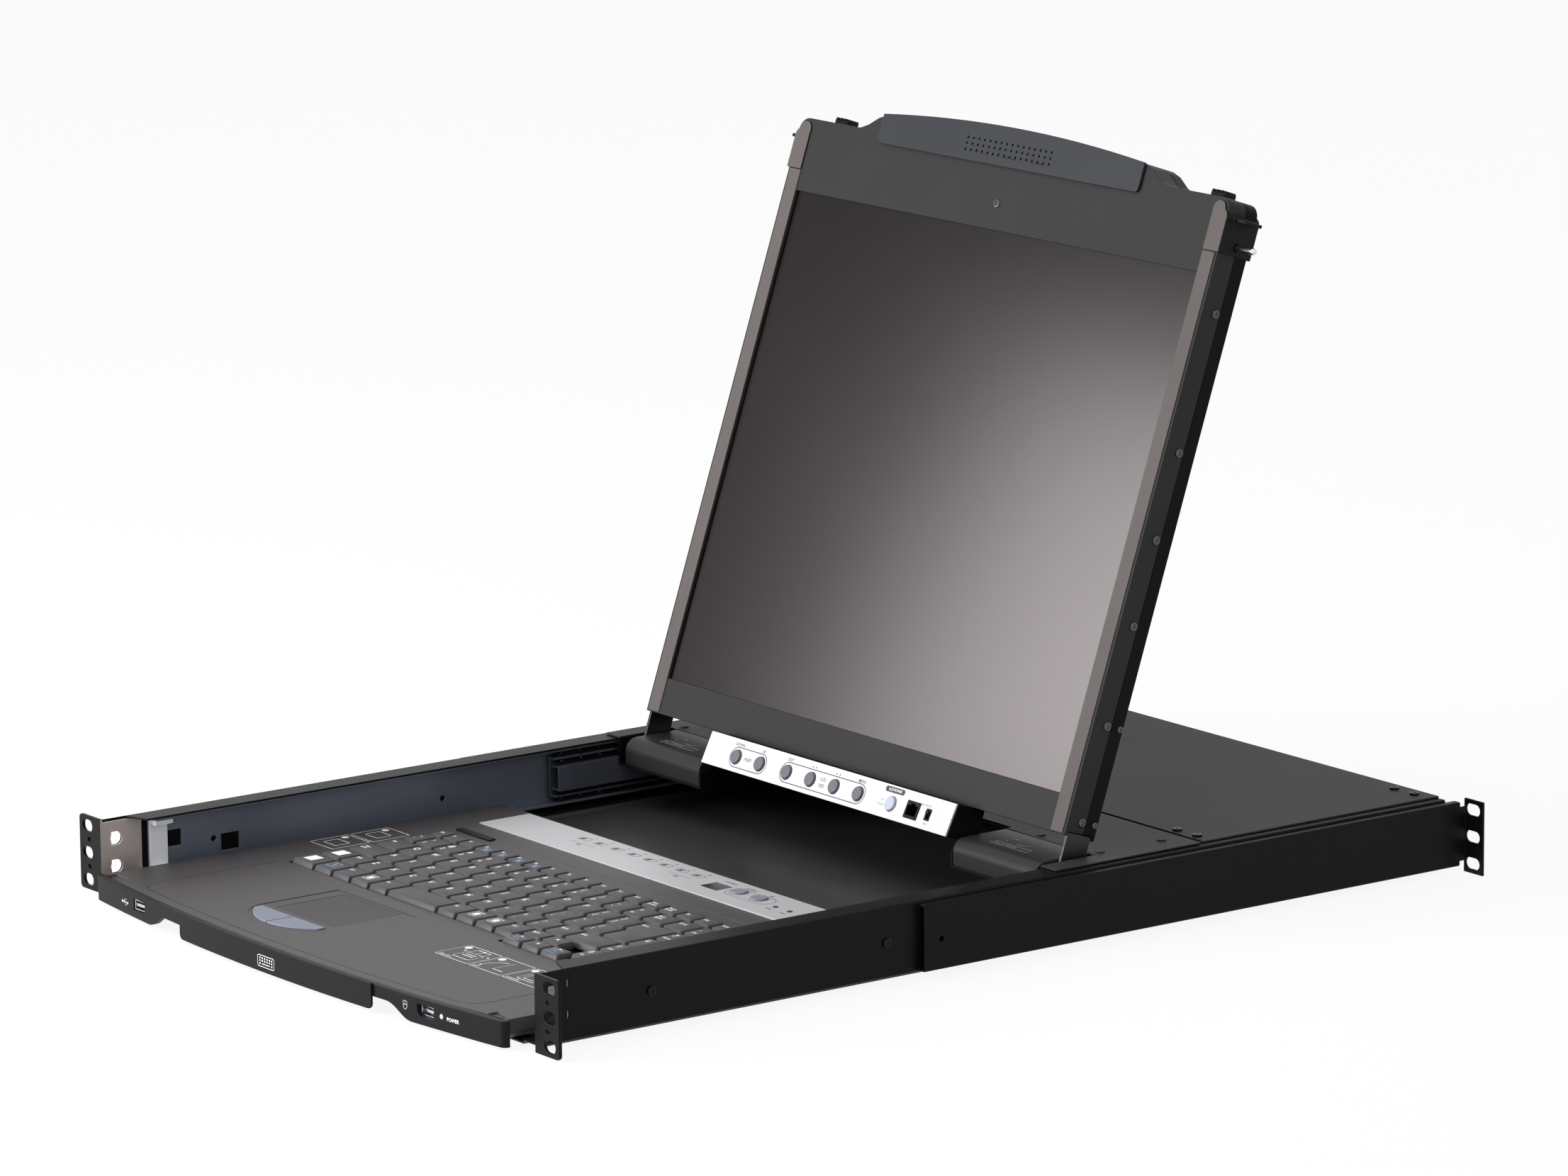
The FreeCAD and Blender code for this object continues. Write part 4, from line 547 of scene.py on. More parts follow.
def thumbSlide(middle, normal):
    return middle.z > 372


def capFront(middle, normal):
    return normal.y < -0.7 and abs(middle.x) < 203


for node in ("latch_left", "latch_right"):
    secondFinish(node, "black", thumbSlide, headPlace)
secondFinish("corner_caps", "edging", capFront, headPlace)
print("stage: screen head")


screwLook = {"sides": 28, "round": 0.55, "recessLength": 1.1, "recessWidth": 0.24, "recessDepth": 1.2}


# A cross-head screw, its rim rounded over and its recess cut, standing on z = 0.
def screwHead(radius, rise):
    look = screwLook
    recess = (radius * look["recessLength"], radius * look["recessWidth"], rise * look["recessDepth"])
    bpy.ops.object.select_all(action="DESELECT")
    middle = (0, 0, rise / 2)
    bpy.ops.mesh.primitive_cylinder_add(vertices=look["sides"], radius=radius, depth=rise, location=middle)
    head = settle(bpy.context.active_object, Matrix.Scale(mm, 4))
    smoothed(roundCorners(head, rise * look["round"], lambda a, b: min(a.z, b.z) > rise - 0.01, 3))
    for turn in (0, 90):
        bpy.ops.object.select_all(action="DESELECT")
        bpy.ops.mesh.primitive_cube_add(size=1, location=(0, 0, rise), scale=recess)
        blade = bpy.context.active_object
        carve(head, settle(blade, Matrix.Scale(mm, 4) @ Matrix.Rotation(math.radians(turn), 4, "Z")))
    return head


def placedCopy(piece, place):
    copy = bpy.data.objects.new(piece.name, piece.data.copy())
    bpy.context.collection.objects.link(copy)
    return settle(copy, place)


def headScrews():
    master = {}
    copies = []
    for low, high in solidBoxes("head_screws", headPlace):
        size = high - low
        middle = (low + high) / 2
        flat = min(range(3), key=lambda axis: size[axis])
        radius, rise = max(size) / 2 / mm, size[flat] / mm
        key = (round(radius, 1), round(rise, 1))
        if key not in master:
            master[key] = screwHead(*key)
        if flat == 0:
            out = 1 if middle.x > 0 else -1
            base = Vector((low.x if out > 0 else high.x, middle.y, middle.z))
            turn = Matrix.Rotation(math.radians(90 * out), 4, "Y")
        else:
            out = 1 if middle.y > 0 else -1
            base = Vector((middle.x, low.y if out > 0 else high.y, middle.z))
            turn = Matrix.Rotation(math.radians(-90 * out), 4, "X")
        copies.append(placedCopy(master[key], headPlace @ Matrix.Translation(base) @ turn))
    for piece in master.values():
        bpy.data.objects.remove(piece)
    fit(joined("headScrews", copies), "screws", "head_screws", ["head_screws"])


headScrews()
print("stage: screws")


# The control panel's legends have a text, a size, and a place across and up the panel. Its arrows have
# a place and a turn.
panelLook = {
    "outline": 0.5, "rise": 8.8, "reach": 6, "frames": ((-93.6, -58.4), (-44, 37)), "arrow": 0.75,
    "face": (0, -1.2, 0),
    "legends": [
        ("DOWN", 2.6, -87.5, 16.3), ("UP", 2.6, -64.4, 16.3), ("PORT", 2.8, -76.0, 8.8),
        ("EXIT", 2.6, -37.9, 16.3), ("MENU", 2.6, 31.0, 16.3),
        ("LCD", 2.7, -3.4, 10.8), ("OSD", 2.7, -3.4, 7.0),
    ],
    "arrows": [
        (-91.9, 8.8, 270), (-60.0, 8.8, 90), (-16.3, 16.3, 90), (-13.3, 16.3, 180),
        (6.6, 16.3, 270), (9.6, 16.3, 0), (89.6, 13.8, 90),
    ],
    "tiny": [
        ("ON", 1.5, 53.6, 9.8), ("STANDBY", 1.3, 53.2, 7.0),
        ("UPDATE", 1.6, 94.4, 13.8), ("MODE", 1.2, 96.6, 3.4),
    ],
    "plate": (53.2, 15.2, 70.8, 18.5, 1.2), "plateLow": -0.02, "plateHigh": 0.03,
    "plateText": ("LCD POWER", 2.1, 62.0, 16.85),
}


def panelMarkings():
    look = panelLook
    surface = panelPlace @ upright(look["face"])
    marks = [lettering(text, size, x, z, surface, "CENTER") for text, size, x, z in look["legends"]]
    rise, reach = look["rise"], look["reach"]
    low, high = rise - reach, rise + reach
    outlines = [roundedBox(left, low, right, high, reach, 8) for left, right in look["frames"]]
    marks.append(strokes(outlines, look["outline"], surface))
    marks += [spot(3, look["arrow"], x, z, surface, turn) for x, z, turn in look["arrows"]]
    fit(joined("panelLegends", marks), "darkInk", "panel_face")
    tiny = [lettering(text, size, x, z, surface, "CENTER") for text, size, x, z in look["tiny"]]
    fit(joined("panelSmallLegends", tiny), "greyInk", "panel_face")
    plate = prismCutter(roundedBox(*look["plate"]), look["plateLow"], look["plateHigh"])
    plate = settle(plate, surface)
    fit(plate, "darkInk", "panel_face").name = "powerLegendPlate"
    onPlate = surface @ Matrix.Translation((0, 0, look["plateHigh"] * mm))
    label = lettering(*look["plateText"], onPlate, "CENTER")
    fit(label, "ink", "panel_face").name = "powerLegend"


panelMarkings()


# A button: the collar of the solid stays, and the rim of its face is rounded over.
def domed(node, paintName, radius, outward):
    piece = mergedCopy(node)
    face = max(vertex.co @ outward for vertex in piece.data.vertices) / mm
    roundCorners(piece, radius, lambda a, b: min(a @ outward, b @ outward) > face - 0.02)
    return fit(smoothed(piece), paintName, node, [node])


buttonLook = {"panelRound": 0.9, "stripRound": 0.5}
for node in nodeBody:
    if node.startswith("button_"):
        name = "paleButton" if node == "button_screen_power" else "button"
        domed(node, name, buttonLook["panelRound"], panelPlace.to_3x3() @ Vector((0, -1, 0)))
for node in ("strip_button_left", "strip_button_right"):
    domed(node, "stripButton", buttonLook["stripRound"], Vector((0, 0, 1)))
print("stage: control panel")

# One key cap is modelled, and each key is a copy stretched to its own width and depth. A key deeper
# than twoRows is the L of its keypad: a narrow part over both rows and a ledge over the rear one.
capLook = {
    "size": 17.7, "height": 4.1, "sideSlope": 0.9, "frontSlope": 1.7, "rearSlope": 0.35,
    "cornerRound": 1.1, "topRound": 0.45, "twoRows": 30.0, "narrowBy": 4.914, "ledgeAt": 18.9,
}


def capMaster():
    look = capLook
    size, height = look["size"], look["height"]
    bpy.ops.object.select_all(action="DESELECT")
    middle = (size / 2, size / 2, height / 2)
    bpy.ops.mesh.primitive_cube_add(size=1, location=middle, scale=(size, size, height))
    cap = settle(bpy.context.active_object)
    top = [face for face in cap.data.polygons if face.normal.z > 0.9][0]
    for polygon in cap.data.polygons:
        polygon.select = polygon.index == top.index
    for edge in cap.data.edges:
        edge.select = edge.key in top.edge_keys
    for vertex in cap.data.vertices:
        vertex.select = vertex.index in top.vertices
    bpy.ops.object.mode_set(mode="EDIT")
    bpy.ops.mesh.select_mode(type="FACE")
    wide = (size - look["sideSlope"] * 2) / size
    deep = (size - look["frontSlope"] - look["rearSlope"]) / size
    bpy.ops.transform.resize(value=(wide, deep, 1), center_override=(size / 2, size / 2, height))
    bpy.ops.transform.translate(value=(0, (look["frontSlope"] - look["rearSlope"]) / 2, 0))
    bpy.ops.object.mode_set(mode="OBJECT")
    rounds = cap.modifiers.new("corners", "BEVEL")
    rounds.width, rounds.segments, rounds.limit_method = look["cornerRound"], 3, "WEIGHT"
    weights = cap.data.attributes.new("bevel_weight_edge", "FLOAT", "EDGE")
    for edge in cap.data.edges:
        ends = [cap.data.vertices[number].co.z for number in edge.vertices]
        weights.data[edge.index].value = float(abs(ends[0] - ends[1]) > height / 2)
    pickOnly(cap)
    bpy.ops.object.modifier_apply(modifier=rounds.name)
    rim = cap.modifiers.new("rim", "BEVEL")
    rim.width, rim.segments, rim.limit_method = look["topRound"], 2, "ANGLE"
    rim.angle_limit = math.radians(40)
    bpy.ops.object.modifier_apply(modifier=rim.name)
    return cap


def capCopy(master, low, high):
    cap = bpy.data.objects.new("cap", master.data.copy())
    bpy.context.collection.objects.link(cap)
    size = capLook["size"]
    more = Vector((high.x - low.x, high.y - low.y)) / mm - Vector((size, size))
    for vertex in cap.data.vertices:
        if vertex.co.x > size / 2:
            vertex.co.x += more.x
        if vertex.co.y > size / 2:
            vertex.co.y += more.y
    corner = Vector((low.x, low.y, high.z - capLook["height"] * mm))
    return settle(cap, Matrix.Translation(corner) @ Matrix.Scale(mm, 4))


keyLegends = {
    "keys_space_row": [
        "#", "~Fn", "Ctrl", "=", "Alt", "", "Alt", "=", "=", "Ctrl",
        "~<", "PgDn", "v", "^", "~>", "0|Ins", "00", ".", "Enter",
    ],
    "keys_shift_row": [
        "#", "Shift", "Z", "X", "C", "V", "B", "N", "M", "<|,", ">|.", "?|/", "PgUp", "Shift",
        "1|End", "2", "3|PgDn", "Enter",
    ],
    "keys_home_row": [
        "Caps Lock", "A", "S", "D", "F", "G", "H", "J", "K", "L", ":|;", "\"|'", "||\\", "Enter",
        "4", "5", "6", "=",
    ],
    "keys_tab_row": [
        "Tab", "Q", "W", "E", "R", "T", "Y", "U", "I", "O", "P", "{|[", "}|]",
        "7|Home", "8", "9|PgUp", "+",
    ],
    "keys_number_row": [
        "~|`", "!|1", "@|2", "#|3", "$|4", "%|5", "^|6", "&|7", "*|8", "(|9", ")|0", "_|-", "+|=",
        "Back Space", "Scroll", ".|Del", "Bksp", "Clear", "+",
    ],
    "keys_function_row": [
        "Esc", "F1", "F2", "F3", "F4", "F5", "F6", "F7", "F8", "F9", "F10", "F11", "F12",
        "Print Screen", "Pause Break", "Ins", "Del", "Num", "/", "*", "-",
    ],
}
legendLook = {
    "letter": 5.6, "word": 2.9, "pair": 4.6, "inset": 4.4, "drop": 5.6, "second": 12.3, "line": 0.4,
    "blueLine": 0.5, "shortKey": 15, "shortDrop": 4.4, "wordInset": 2.2, "lowerShift": 1.2,
    "blueKeys": ("F3", "F4", "F5", "F6"),
}


# The legend of one key, as white pieces and blue pieces. Places are measured from its rear left corner.
def legendOf(text, low, high):
    look = legendLook
    white, blue = [], []
    left, rear = low.x / mm, high.y / mm
    top = Matrix.Translation((0, 0, high.z + markLook["lift"] * mm))
    short = (high.y - low.y) / mm < look["shortKey"]
    x, y = left + look["inset"], rear - (look["shortDrop"] if short else look["drop"])

    def box(near, front, far, back, radius):
        return roundedBox(left + near, rear - front, left + far, rear - back, radius)

    if text == "#":
        white.append(spot(4, 6.1, left + 8.6, rear - 7.6, top, 45))
    elif text == "=":
        white.append(spot(4, 2.9, left + 7.4, rear - 7.4, top, 45))
        white.append(strokes([box(3.6, 11.0, 11.2, 3.8, 1.0)], look["line"], top))
    elif text in ("^", "v"):
        white.append(spot(3, 1.5, left + 8, rear - 4.6, top, 0 if text == "^" else 180))
    elif text == "~Fn":
        blue.append(strokes([box(3.2, 10.6, 12.4, 4.2, 1.2)], look["blueLine"], top))
        blue.append(lettering("Fn", 4.2, left + 7.8, rear - 7.4, top, "CENTER"))
    elif text in ("~<", "~>"):
        blue.append(strokes([box(3.0, 9.6, 12.6, 3.6, 1.2)], look["blueLine"], top))
        blue.append(strokes([[(left + 5, rear - 6.6), (left + 10.6, rear - 6.6)]], 0.6, top, False))
        white.append(spot(3, 1.1, left + 7.8, rear - 2.2, top, 90 if text == "~<" else -90))
    elif "|" in text[1:]:
        upper, lower = text[0], text[2:]
        single = len(lower) == 1
        white.append(lettering(upper, look["pair"] if single else look["letter"], x, y, top, "CENTER"))
        place = (x if single else x + look["lowerShift"], rear - look["second"])
        white.append(lettering(lower, look["pair"] if single else look["word"], *place, top, "CENTER"))
    elif len(text) == 1:
        white.append(lettering(text, look["letter"], x, y, top, "CENTER"))
    elif text:
        x, size = left + look["wordInset"], look["word"]
        white += [lettering(word, size, x, y - size * line, top) for line, word in enumerate(text.split(" "))]
    if text in look["blueKeys"]:
        blue.append(spot(12, 1.3, left + 8.4, rear - 8.2, top))
        blue.append(strokes([box(6, 10, 11.6, 6.4, 1)], look["line"], top))
    return white, blue


def keyRows():
    master = capMaster()
    for row, legends in keyLegends.items():
        caps, white, blue = [], [], []
        boxes = solidBoxes(row)
        boxes.sort(key=lambda box: (round(box[0].x, 4), box[0].y))
        for text, (low, high) in zip(legends, boxes):
            if high.y - low.y > capLook["twoRows"] * mm:
                narrow = low + Vector((capLook["narrowBy"] * mm, 0, 0))
                ledge = Vector((low.x, low.y + capLook["ledgeAt"] * mm, low.z))
                caps.append(carve(capCopy(master, narrow, high), capCopy(master, ledge, high), "UNION"))
            else:
                caps.append(capCopy(master, low, high))
            whites, blues = legendOf(text, low, high)
            white += whites
            blue += blues
        rowPiece = roundedCaps(joined(plainName(row), caps))
        fit(rowPiece, "keys", row, [row])
        fit(joined(plainName(row) + "Legends", white), "ink", row)
        if blue:
            fit(joined(plainName(row) + "BlueLegends", blue), "blueInk", row)
    bpy.data.objects.remove(master)


def roundedCaps(piece):
    pickOnly(piece)
    bpy.ops.object.shade_smooth_by_angle(angle=math.radians(35))
    return piece


keyRows()
print("stage: keys")


# The keyboard tray's shell, with its seam and the dish round its touch buttons.
seamLook = {"half": 167.5, "front": -14.2, "rear": 86.0, "width": 0.55, "depth": 0.6}
dishLook = {"left": -89.4, "right": -10.0, "rear": 78.0, "bend": 28.0, "bow": 26.5, "depth": 0.35}


# The front's bow is an arc: its radius, and how far back it lies at x when its middle is at middle.
def bowRadius():
    return (bezelBow["half"] ** 2 + bezelBow["rise"] ** 2) / (2 * bezelBow["rise"])


def bowed(x, middle):
    radius = bowRadius()
    return middle + radius - math.sqrt(radius ** 2 - x ** 2)


# The outline of a groove of even width along a path.
def ribbon(path, width):
    near, far = [], []
    for number, point in enumerate(path):
        before, after = path[max(number - 1, 0)], path[min(number + 1, len(path) - 1)]
        along = (Vector(after) - Vector(before)).normalized() * width / 2
        near.append((point[0] - along.y, point[1] + along.x))
        far.append((point[0] + along.y, point[1] - along.x))
    return near + far[::-1]


def trayShell():
    shell = roundEdges(mergedCopy("tray_top"), 0.4, 2, 40)
    top = trayTop / mm
    dish = dishLook
    middle, half = (dish["left"] + dish["right"]) / 2, (dish["right"] - dish["left"]) / 2
    outline = [(dish["right"], dish["rear"]), (dish["left"], dish["rear"])]
    for step in range(25):
        angle = math.pi * (1 + step / 24)
        outline.append((middle + half * math.cos(angle), dish["bend"] + dish["bow"] * math.sin(angle)))
    carve(shell, prismCutter(outline, top - dish["depth"], top + 1))
    seam = seamLook
    front = [(x, bowed(x, seam["front"])) for x in range(-150, 151, 15)]
    corner = (seam["half"], front[-1][1])
    bend = roundedCorner(front[-1], (seam["half"], front[-1][1] + 16), corner)
    right = front + bend + [(seam["half"], front[-1][1] + 16), (seam["half"], seam["rear"])]
    left = [(-x, y) for x, y in reversed(right[len(front):])]
    carve(shell, prismCutter(ribbon(left + right, seam["width"]), top - seam["depth"], top + 1))
    fit(smoothed(shell, 40), "shell", "tray_top", ["tray_top"])


def roundedCorner(start, end, corner, steps=6):
    points = []
    for step in range(1, steps):
        share = step / steps
        first = Vector(start).lerp(Vector(corner), share)
        second = Vector(corner).lerp(Vector(end), share)
        points.append(tuple(first.lerp(second, share)))
    return points


trayShell()
print("stage: tray shell")

trayParts = {
    "front_bezel": ("bezel", 0.3), "strip_face": ("silver", 0.15), "touchpad": ("pad", 0.2),
    "touch_button_left": ("crescent", 0.5), "touch_button_right": ("crescent", 0.5),
    "usb_ports": ("bright", 0.2),
}
for node, (paintName, edge) in trayParts.items():
    piece = softened(node, paintName, edge)
    if node == "touchpad":
        piece.name = "touchSurface"


# Line drawings on the tray: how to pull it out, how to lift the screen, how to unlatch it. A box has its
# left, front, right and rear sides and its corner radius. An arrow has a place and a turn.
trayLook = {
    "frames": [
        (61, 42.3, 92.6, 66.3, 1.5), (93.8, 42.3, 124.4, 66.3, 1.5), (125.6, 42.3, 158.5, 66.3, 1.5),
    ],
    "sketches": [
        (71, 47, 87, 57.5, 2), (72.5, 57.5, 85.5, 63.5, 1),
        (133, 47, 149, 61, 1.5), (136, 49.5, 146, 58.5, 1),
    ],
    "lines": [
        [(110, 62), (110, 47.5), (119, 47.5)], [(98, 49), (99.5, 54), (103, 58.5), (107, 60.5)],
        [(74, 52), (84, 52)], [(74, 54.5), (84, 54.5)], [(79, 57.5), (79, 62.5)],
    ],
    "discs": [(64.6, 62.6), (97.2, 62.6), (129.0, 62.6)], "discRadius": 2.3,
    "arrows": [(79, 63.4, 0), (98, 47.6, 180), (141, 62.4, 0), (90, 58, 300), (68, 58, 60)], "arrow": 1.3,
    "captions": [(62.5, "1 PULL OUT"), (95.5, "2 LIFT"), (127.5, "3 UNLATCH")], "captionY": 44.2,
    "leftFrames": [(-196, 128, -172, 154, 1.5), (-196, 156, -172, 182, 1.5)],
    "leftSketches": [(-191, 134, -178, 144, 1.5), (-191, 163, -178, 173, 1.5)],
    "leftDiscs": [(-191.5, 149.5), (-191.5, 177.5)], "leftDiscRadius": 2.2,
    "thin": 0.35, "thick": 0.45, "bold": 0.6, "caption": 2.2,
    "ledge": (-166, 209.5, -131, 214.5, 1.0), "ledgeRise": 0.9,
    "ridge": [(-131, 213), (164, 213)], "ridgeWidth": 1.2,
    "moldMarks": (-157, -26, 86), "moldMarkY": 204.5, "moldMarkHalf": 1.9, "moldMarkLine": 0.4,
}


def boxLines(boxes, width, surface):
    return strokes([roundedBox(*box) for box in boxes], width, surface)


def trayDrawings():
    look = trayLook
    surface = Matrix.Translation((0, 0, trayTop + markLook["lift"] * mm))
    marks = [boxLines(look["frames"], look["thin"], surface)]
    marks.append(boxLines(look["sketches"], look["thick"], surface))
    marks.append(strokes(look["lines"], look["bold"], surface, False))
    marks += [spot(20, look["discRadius"], x, y, surface) for x, y in look["discs"]]
    marks += [spot(3, look["arrow"], x, y, surface, turn) for x, y, turn in look["arrows"]]
    marks += [lettering(text, look["caption"], x, look["captionY"], surface) for x, text in look["captions"]]
    marks.append(boxLines(look["leftFrames"], look["thin"], surface))
    marks.append(boxLines(look["leftSketches"], look["thick"], surface))
    marks += [spot(20, look["leftDiscRadius"], x, y, surface) for x, y in look["leftDiscs"]]
    fit(joined("trayDrawings", marks), "ink", "tray_top")
    top = trayTop / mm
    ledge = prismCutter(roundedBox(*look["ledge"]), top, top + look["ledgeRise"])
    fit(ledge, "bezel", "tray_top").name = "trayLedge"
    ridge = strokes([look["ridge"]], look["ridgeWidth"], surface, False)
    fit(ridge, "edging", "tray_top").name = "trayRidge"
    half, middle = look["moldMarkHalf"], look["moldMarkY"]
    boxes = [(x - half, middle - half, x + half, middle + half, half) for x in look["moldMarks"]]
    studs = [boxLines([box], look["moldMarkLine"], surface) for box in boxes]
    fit(joined("trayMoldMarks", studs), "deck", "tray_top")


trayDrawings()


# The silver strip: numbered port outlines, the brackets under them, the station frame and the words.
stripLook = {
    "ports": (-98.9, -83, -66.4, -50, -34, -18.2, -2.3, 13.6),
    "portBox": (-4.6, 252.8, 4.6, 257.6, 1.2), "portSpot": (1.8, -1.6, 255.2),
    "portNumber": (3.0, 3.0, 261.0),
    "brackets": [(-101, -80), (-5, 16)], "bracketLow": 247.4, "bracketHigh": 248.8, "bracketLine": 0.3,
    "station": (50.5, 243.2, 90.5, 256.6, 6.6, 8), "line": 0.4,
    "words": [
        ("USB", 2.6, -91, 244.6), ("USB", 2.6, 5.5, 244.6), ("STATION", 2.6, 39.3, 259.6),
        ("DOWN", 2.6, 58.6, 259.6), ("UP", 2.6, 77.7, 259.6),
        ("NUM", 2.2, 98.4, 241.6), ("CAPS", 2.2, 111.8, 241.6),
    ],
}


def stripDrawings():
    look = stripLook
    surface = Matrix.Translation((0, 0, stripTop + markLook["lift"] * mm))
    left, front, right, rear, corner = look["portBox"]
    spotRadius, spotX, spotY = look["portSpot"]
    size, numberX, numberY = look["portNumber"]
    marks = []
    for number, x in enumerate(look["ports"], start=1):
        marks.append(boxLines([(x + left, front, x + right, rear, corner)], look["line"], surface))
        marks.append(spot(4, spotRadius, x + spotX, spotY, surface, 45, 1.5))
        marks.append(lettering(str(number), size, x + numberX, numberY, surface, "CENTER"))
    low, high = look["bracketLow"], look["bracketHigh"]
    brackets = [[(start, high), (start, low), (end, low), (end, high)] for start, end in look["brackets"]]
    marks.append(strokes(brackets, look["bracketLine"], surface, False))
    marks.append(boxLines([look["station"]], look["line"], surface))
    marks += [lettering(text, size, x, y, surface, "CENTER") for text, size, x, y in look["words"]]
    fit(joined("stripDrawings", marks), "darkInk", "strip_face")


stripDrawings()


# Symbols on the front: ports, lamp and the keyboard pictogram on the grip. Each has its place across
# and up, and its lines are drawn about that place.
frontLook = {
    "power": (160, -13.2), "powerSize": 2.9, "usb": (-167.2, -13.8), "mouse": (125, -12),
    "grip": (-2.8, -13.7, -26.63), "lamp": (155.3, -12.7), "thin": 0.26, "line": 0.3,
    "usbLines": [
        [(-3.2, 0), (3, 0)], [(-1.5, 0), (0, 1.5), (1.8, 1.5)], [(-0.5, 0), (0.8, -1.5), (2.2, -1.5)],
    ],
    "usbSpots": [(16, 0.75, -3.2, 0), (3, 0.9, 3.4, -90)],
    "mouseOutline": [(-1.6, 2.2), (-1.6, -0.8), (-0.8, -2.2), (0.8, -2.2), (1.6, -0.8), (1.6, 2.2)],
    "mouseLines": [[(0, 2.0), (0, 0.4)], [(-1.5, 0.3), (1.5, 0.3)]],
    "gripBox": (-8.3, -3.2, 8.3, 3.2, 1.2), "gripLine": 0.38, "gripKey": 0.6,
    "gripRows": [
        (1.7, (-6.0, -3.6, -1.2, 1.2, 3.6, 6.0)), (0.1, (-6.0, -3.6, -1.2, 1.2, 3.6, 6.0)),
        (-1.6, (-6.0, 6.0)),
    ],
    "gripBar": [(-4.0, -1.6), (4.0, -1.6)], "gripBarLine": 0.5,
    "lampRadius": 1.45, "lampDepth": 2.4, "lampSink": 1.3, "lampRound": 0.4, "lift": 0.02,
}


# A place on the bowed front, turned with it.
def onBezel(x, z, middle=bezelBow["middle"]):
    turn = Matrix.Rotation(math.asin(x / bowRadius()), 4, "Z")
    return Matrix.Translation(Vector((x, bowed(x, middle) - frontLook["lift"], z)) * mm) @ turn @ upright()


def frontSymbols():
    look = frontLook
    marks = [lettering("POWER", look["powerSize"], 0, 0, onBezel(*look["power"]))]
    usb = onBezel(*look["usb"])
    marks.append(strokes(look["usbLines"], look["thin"], usb, False))
    marks += [spot(corners, radius, x, 0, usb, turn) for corners, radius, x, turn in look["usbSpots"]]
    mouse = onBezel(*look["mouse"])
    marks.append(strokes([look["mouseOutline"]], look["line"], mouse))
    marks.append(strokes(look["mouseLines"], look["thin"], mouse, False))
    grip = onBezel(*look["grip"])
    marks.append(boxLines([look["gripBox"]], look["gripLine"], grip))
    for y, places in look["gripRows"]:
        marks += [spot(4, look["gripKey"], x, y, grip, 45, 1.2) for x in places]
    marks.append(strokes([look["gripBar"]], look["gripBarLine"], grip, False))
    fit(joined("frontSymbols", marks), "ink", "front_bezel")
    bpy.ops.object.select_all(action="DESELECT")
    bpy.ops.mesh.primitive_cylinder_add(vertices=24, radius=look["lampRadius"], depth=look["lampDepth"])
    place = onBezel(*look["lamp"]) @ Matrix.Scale(mm, 4) @ Matrix.Translation((0, 0, -look["lampSink"]))
    lamp = settle(bpy.context.active_object, place)
    fit(roundEdges(lamp, look["lampRound"], 3), "tongue", "front_bezel").name = "powerLamp"


frontSymbols()
print("stage: tray drawings")


# Small line drawings on top of the hinge covers, about the middle of each.
coverLook = {
    "middles": (-160, 160), "arcX": -12, "arcY": 377, "arcRadius": 3.4, "arcSteps": 4, "line": 0.5,
    "lines": [[(-4, 373.4), (4, 373.4), (6, 379.5)], [(8, 373.4), (8, 380)]], "arrow": (1.3, -12, 380.6, 60),
    "box": (-19, 365.8, 15, 370.2, 1.2), "boxLine": 0.4, "text": ("PULL TO RELEASE", 2.4, -17, 368.0),
}


def coverDrawings():
    look = coverLook
    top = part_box("hinge_covers")[1].z
    surface = Matrix.Translation((0, 0, top + markLook["lift"] * mm))
    radius, steps = look["arcRadius"], look["arcSteps"]
    size, arrowX, arrowY, turn = look["arrow"]
    left, front, right, rear, corner = look["box"]
    text, letter, textX, textY = look["text"]
    marks = []
    for x in look["middles"]:
        angles = [number / steps for number in range(2, 18)]
        arc = [(x + look["arcX"] + radius * math.cos(a), look["arcY"] + radius * math.sin(a)) for a in angles]
        lines = [[(x + across, y) for across, y in line] for line in look["lines"]]
        marks.append(strokes([arc] + lines, look["line"], surface, False))
        marks.append(spot(3, size, x + arrowX, arrowY, surface, turn))
        marks.append(boxLines([(x + left, front, x + right, rear, corner)], look["boxLine"], surface))
        marks.append(lettering(text, letter, x + textX, textY, surface))
    fit(joined("coverDrawings", marks), "greyInk", "hinge_covers")


coverDrawings()
print("stage: hinge covers")


# The floor, the lamps and the camera. A lamp has a name, a place, what it aims at, a size and a power.
stage = {
    "floorSize": 30.0, "skyLight": 0.6, "glowTint": (1.0, 0.92, 0.93), "lamps": [
        ("keyLight", (-0.6, -0.9, 2.3), (0, 0.25, 0.0), 1.8, 34.0),
        ("screenGlow", (-0.49, -0.228, 0.34), (0.20, 0.42, 0.12), 0.36, 27.0),
        ("frontFill", (-0.8, -1.3, 0.45), (0.05, 0.3, 0.1), 0.8, 36.0),
        ("sideFill", (2.2, -0.4, 1.4), (0, 0.3, 0.1), 1.2, 4.0),
    ],
    "cameraAt": (3.50290537, -2.24932683, 1.06920034), "turn": (53.6644, 11.9311, -0.4923), "lens": 178.517,
}


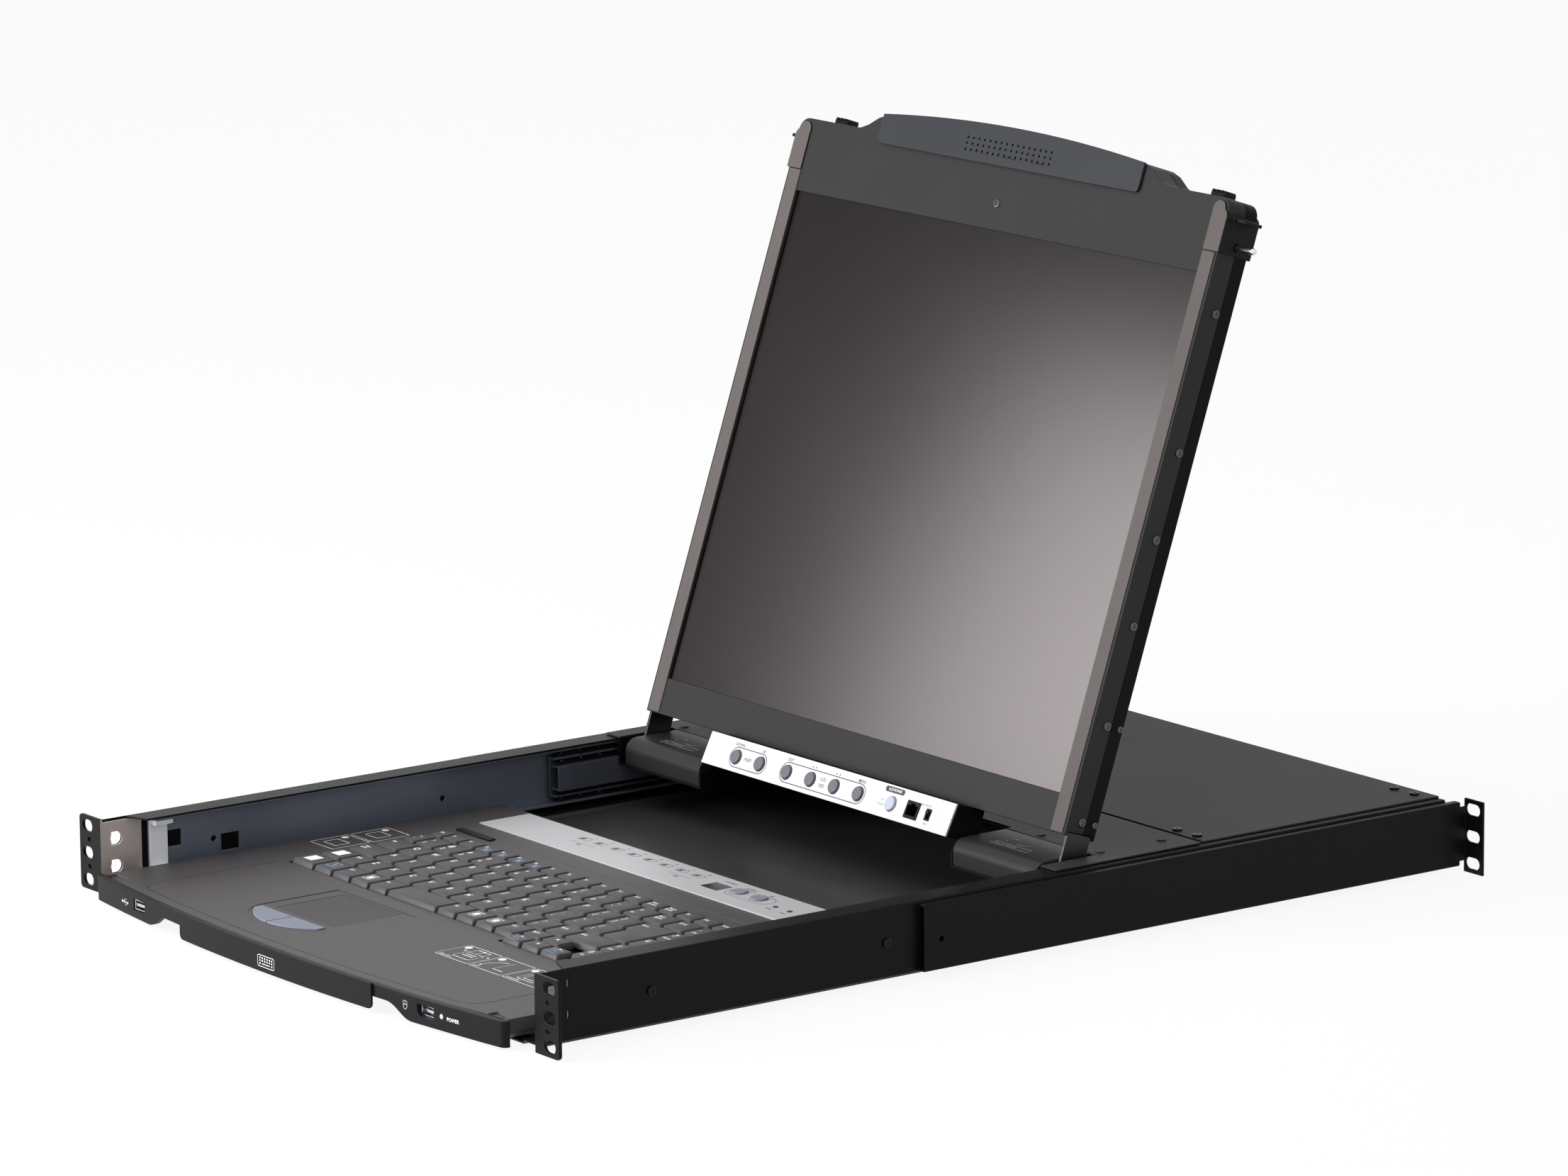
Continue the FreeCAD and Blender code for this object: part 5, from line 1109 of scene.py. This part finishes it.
def floorAndWorld():
    bpy.ops.object.select_all(action="DESELECT")
    bpy.ops.mesh.primitive_plane_add(size=stage["floorSize"], location=(0, 0, cadBox[0].z - 0.3 * mm))
    floor = bpy.context.active_object
    floor.name = "floor"
    paint = Paint("floorPaint", {"Roughness": 0.8, "Specular IOR Level": 0.1})
    cloud = paint.spots(400 * mm, 1.0)
    paint.set("Base Color", paint.blend(cloud, (0.86, 0.86, 0.86, 1), (0.88, 0.88, 0.88, 1)))
    rays = paint.node("ShaderNodeLightPath", output=0)
    glossy = Flow(paint, rays.socket.node.outputs["Is Glossy Ray"])
    through = Flow(paint, rays.socket.node.outputs["Is Transmission Ray"])
    direct = rays + glossy + through
    seen = direct.maths("MINIMUM", direct, 1.0)
    glow = paint.node("ShaderNodeEmission", {}, {"Color": (1, 1, 1, 1), "Strength": 1.0})
    surface = Flow(paint, paint.shader.outputs[0])
    mix = paint.node("ShaderNodeMixShader", {}, {0: seen * 0.9, 1: surface, 2: glow})
    output = paint.tree.nodes["Material Output"]
    paint.tree.links.new(mix.socket, output.inputs["Surface"])
    floor.data.materials.append(paint.material)
    world = bpy.data.worlds.new("studio")
    bpy.context.scene.world = world
    world.use_nodes = True
    nodes, links = world.node_tree.nodes, world.node_tree.links
    light = nodes.new("ShaderNodeLightPath")
    sky = nodes["Background"]
    sky.inputs["Color"].default_value = (1, 1, 1, 1)
    seen = [nodes.new("ShaderNodeMath") for _ in range(2)]
    links.new(light.outputs["Is Camera Ray"], seen[0].inputs[0])
    links.new(light.outputs["Is Glossy Ray"], seen[0].inputs[1])
    links.new(seen[0].outputs[0], seen[1].inputs[0])
    links.new(light.outputs["Is Transmission Ray"], seen[1].inputs[1])
    seen[1].use_clamp = True
    strength = nodes.new("ShaderNodeMapRange")
    strength.inputs["To Min"].default_value = stage["skyLight"]
    strength.inputs["To Max"].default_value = 1.0
    links.new(seen[1].outputs[0], strength.inputs["Value"])
    links.new(strength.outputs["Result"], sky.inputs["Strength"])


def lightsAndCamera():
    for name, place, aim, size, power in stage["lamps"]:
        lamp = bpy.data.lights.new(name, "AREA")
        lamp.size = size
        lamp.energy = power
        lamp.color = stage["glowTint"] if name == "screenGlow" else (1, 1, 1)
        holder = bpy.data.objects.new(name, lamp)
        bpy.context.collection.objects.link(holder)
        holder.location = place
        holder.rotation_euler = (Vector(aim) - Vector(place)).to_track_quat("-Z", "Y").to_euler()
        holder.visible_camera = False
        if name == "screenGlow":
            lit = bpy.data.collections.new("glowLit")
            lit.objects.link(bpy.data.objects["screen"])
            holder.light_linking.receiver_collection = lit
    camera = bpy.data.cameras.new("camera")
    camera.lens = stage["lens"]
    camera.sensor_width = 36
    camera.clip_end = 100
    holder = bpy.data.objects.new("camera", camera)
    bpy.context.collection.objects.link(holder)
    around, down, roll = (math.radians(angle) for angle in stage["turn"])
    turn = Matrix.Rotation(around, 4, "Z") @ Matrix.Rotation(math.pi / 2 - down, 4, "X")
    turn = turn @ Matrix.Rotation(roll, 4, "Z")
    holder.matrix_world = Matrix.Translation(Vector(stage["cameraAt"])) @ turn
    bpy.context.scene.camera = holder


floorAndWorld()
lightsAndCamera()
bpy.context.scene.view_settings.view_transform = "Standard"
print("stage: floor, light and camera")
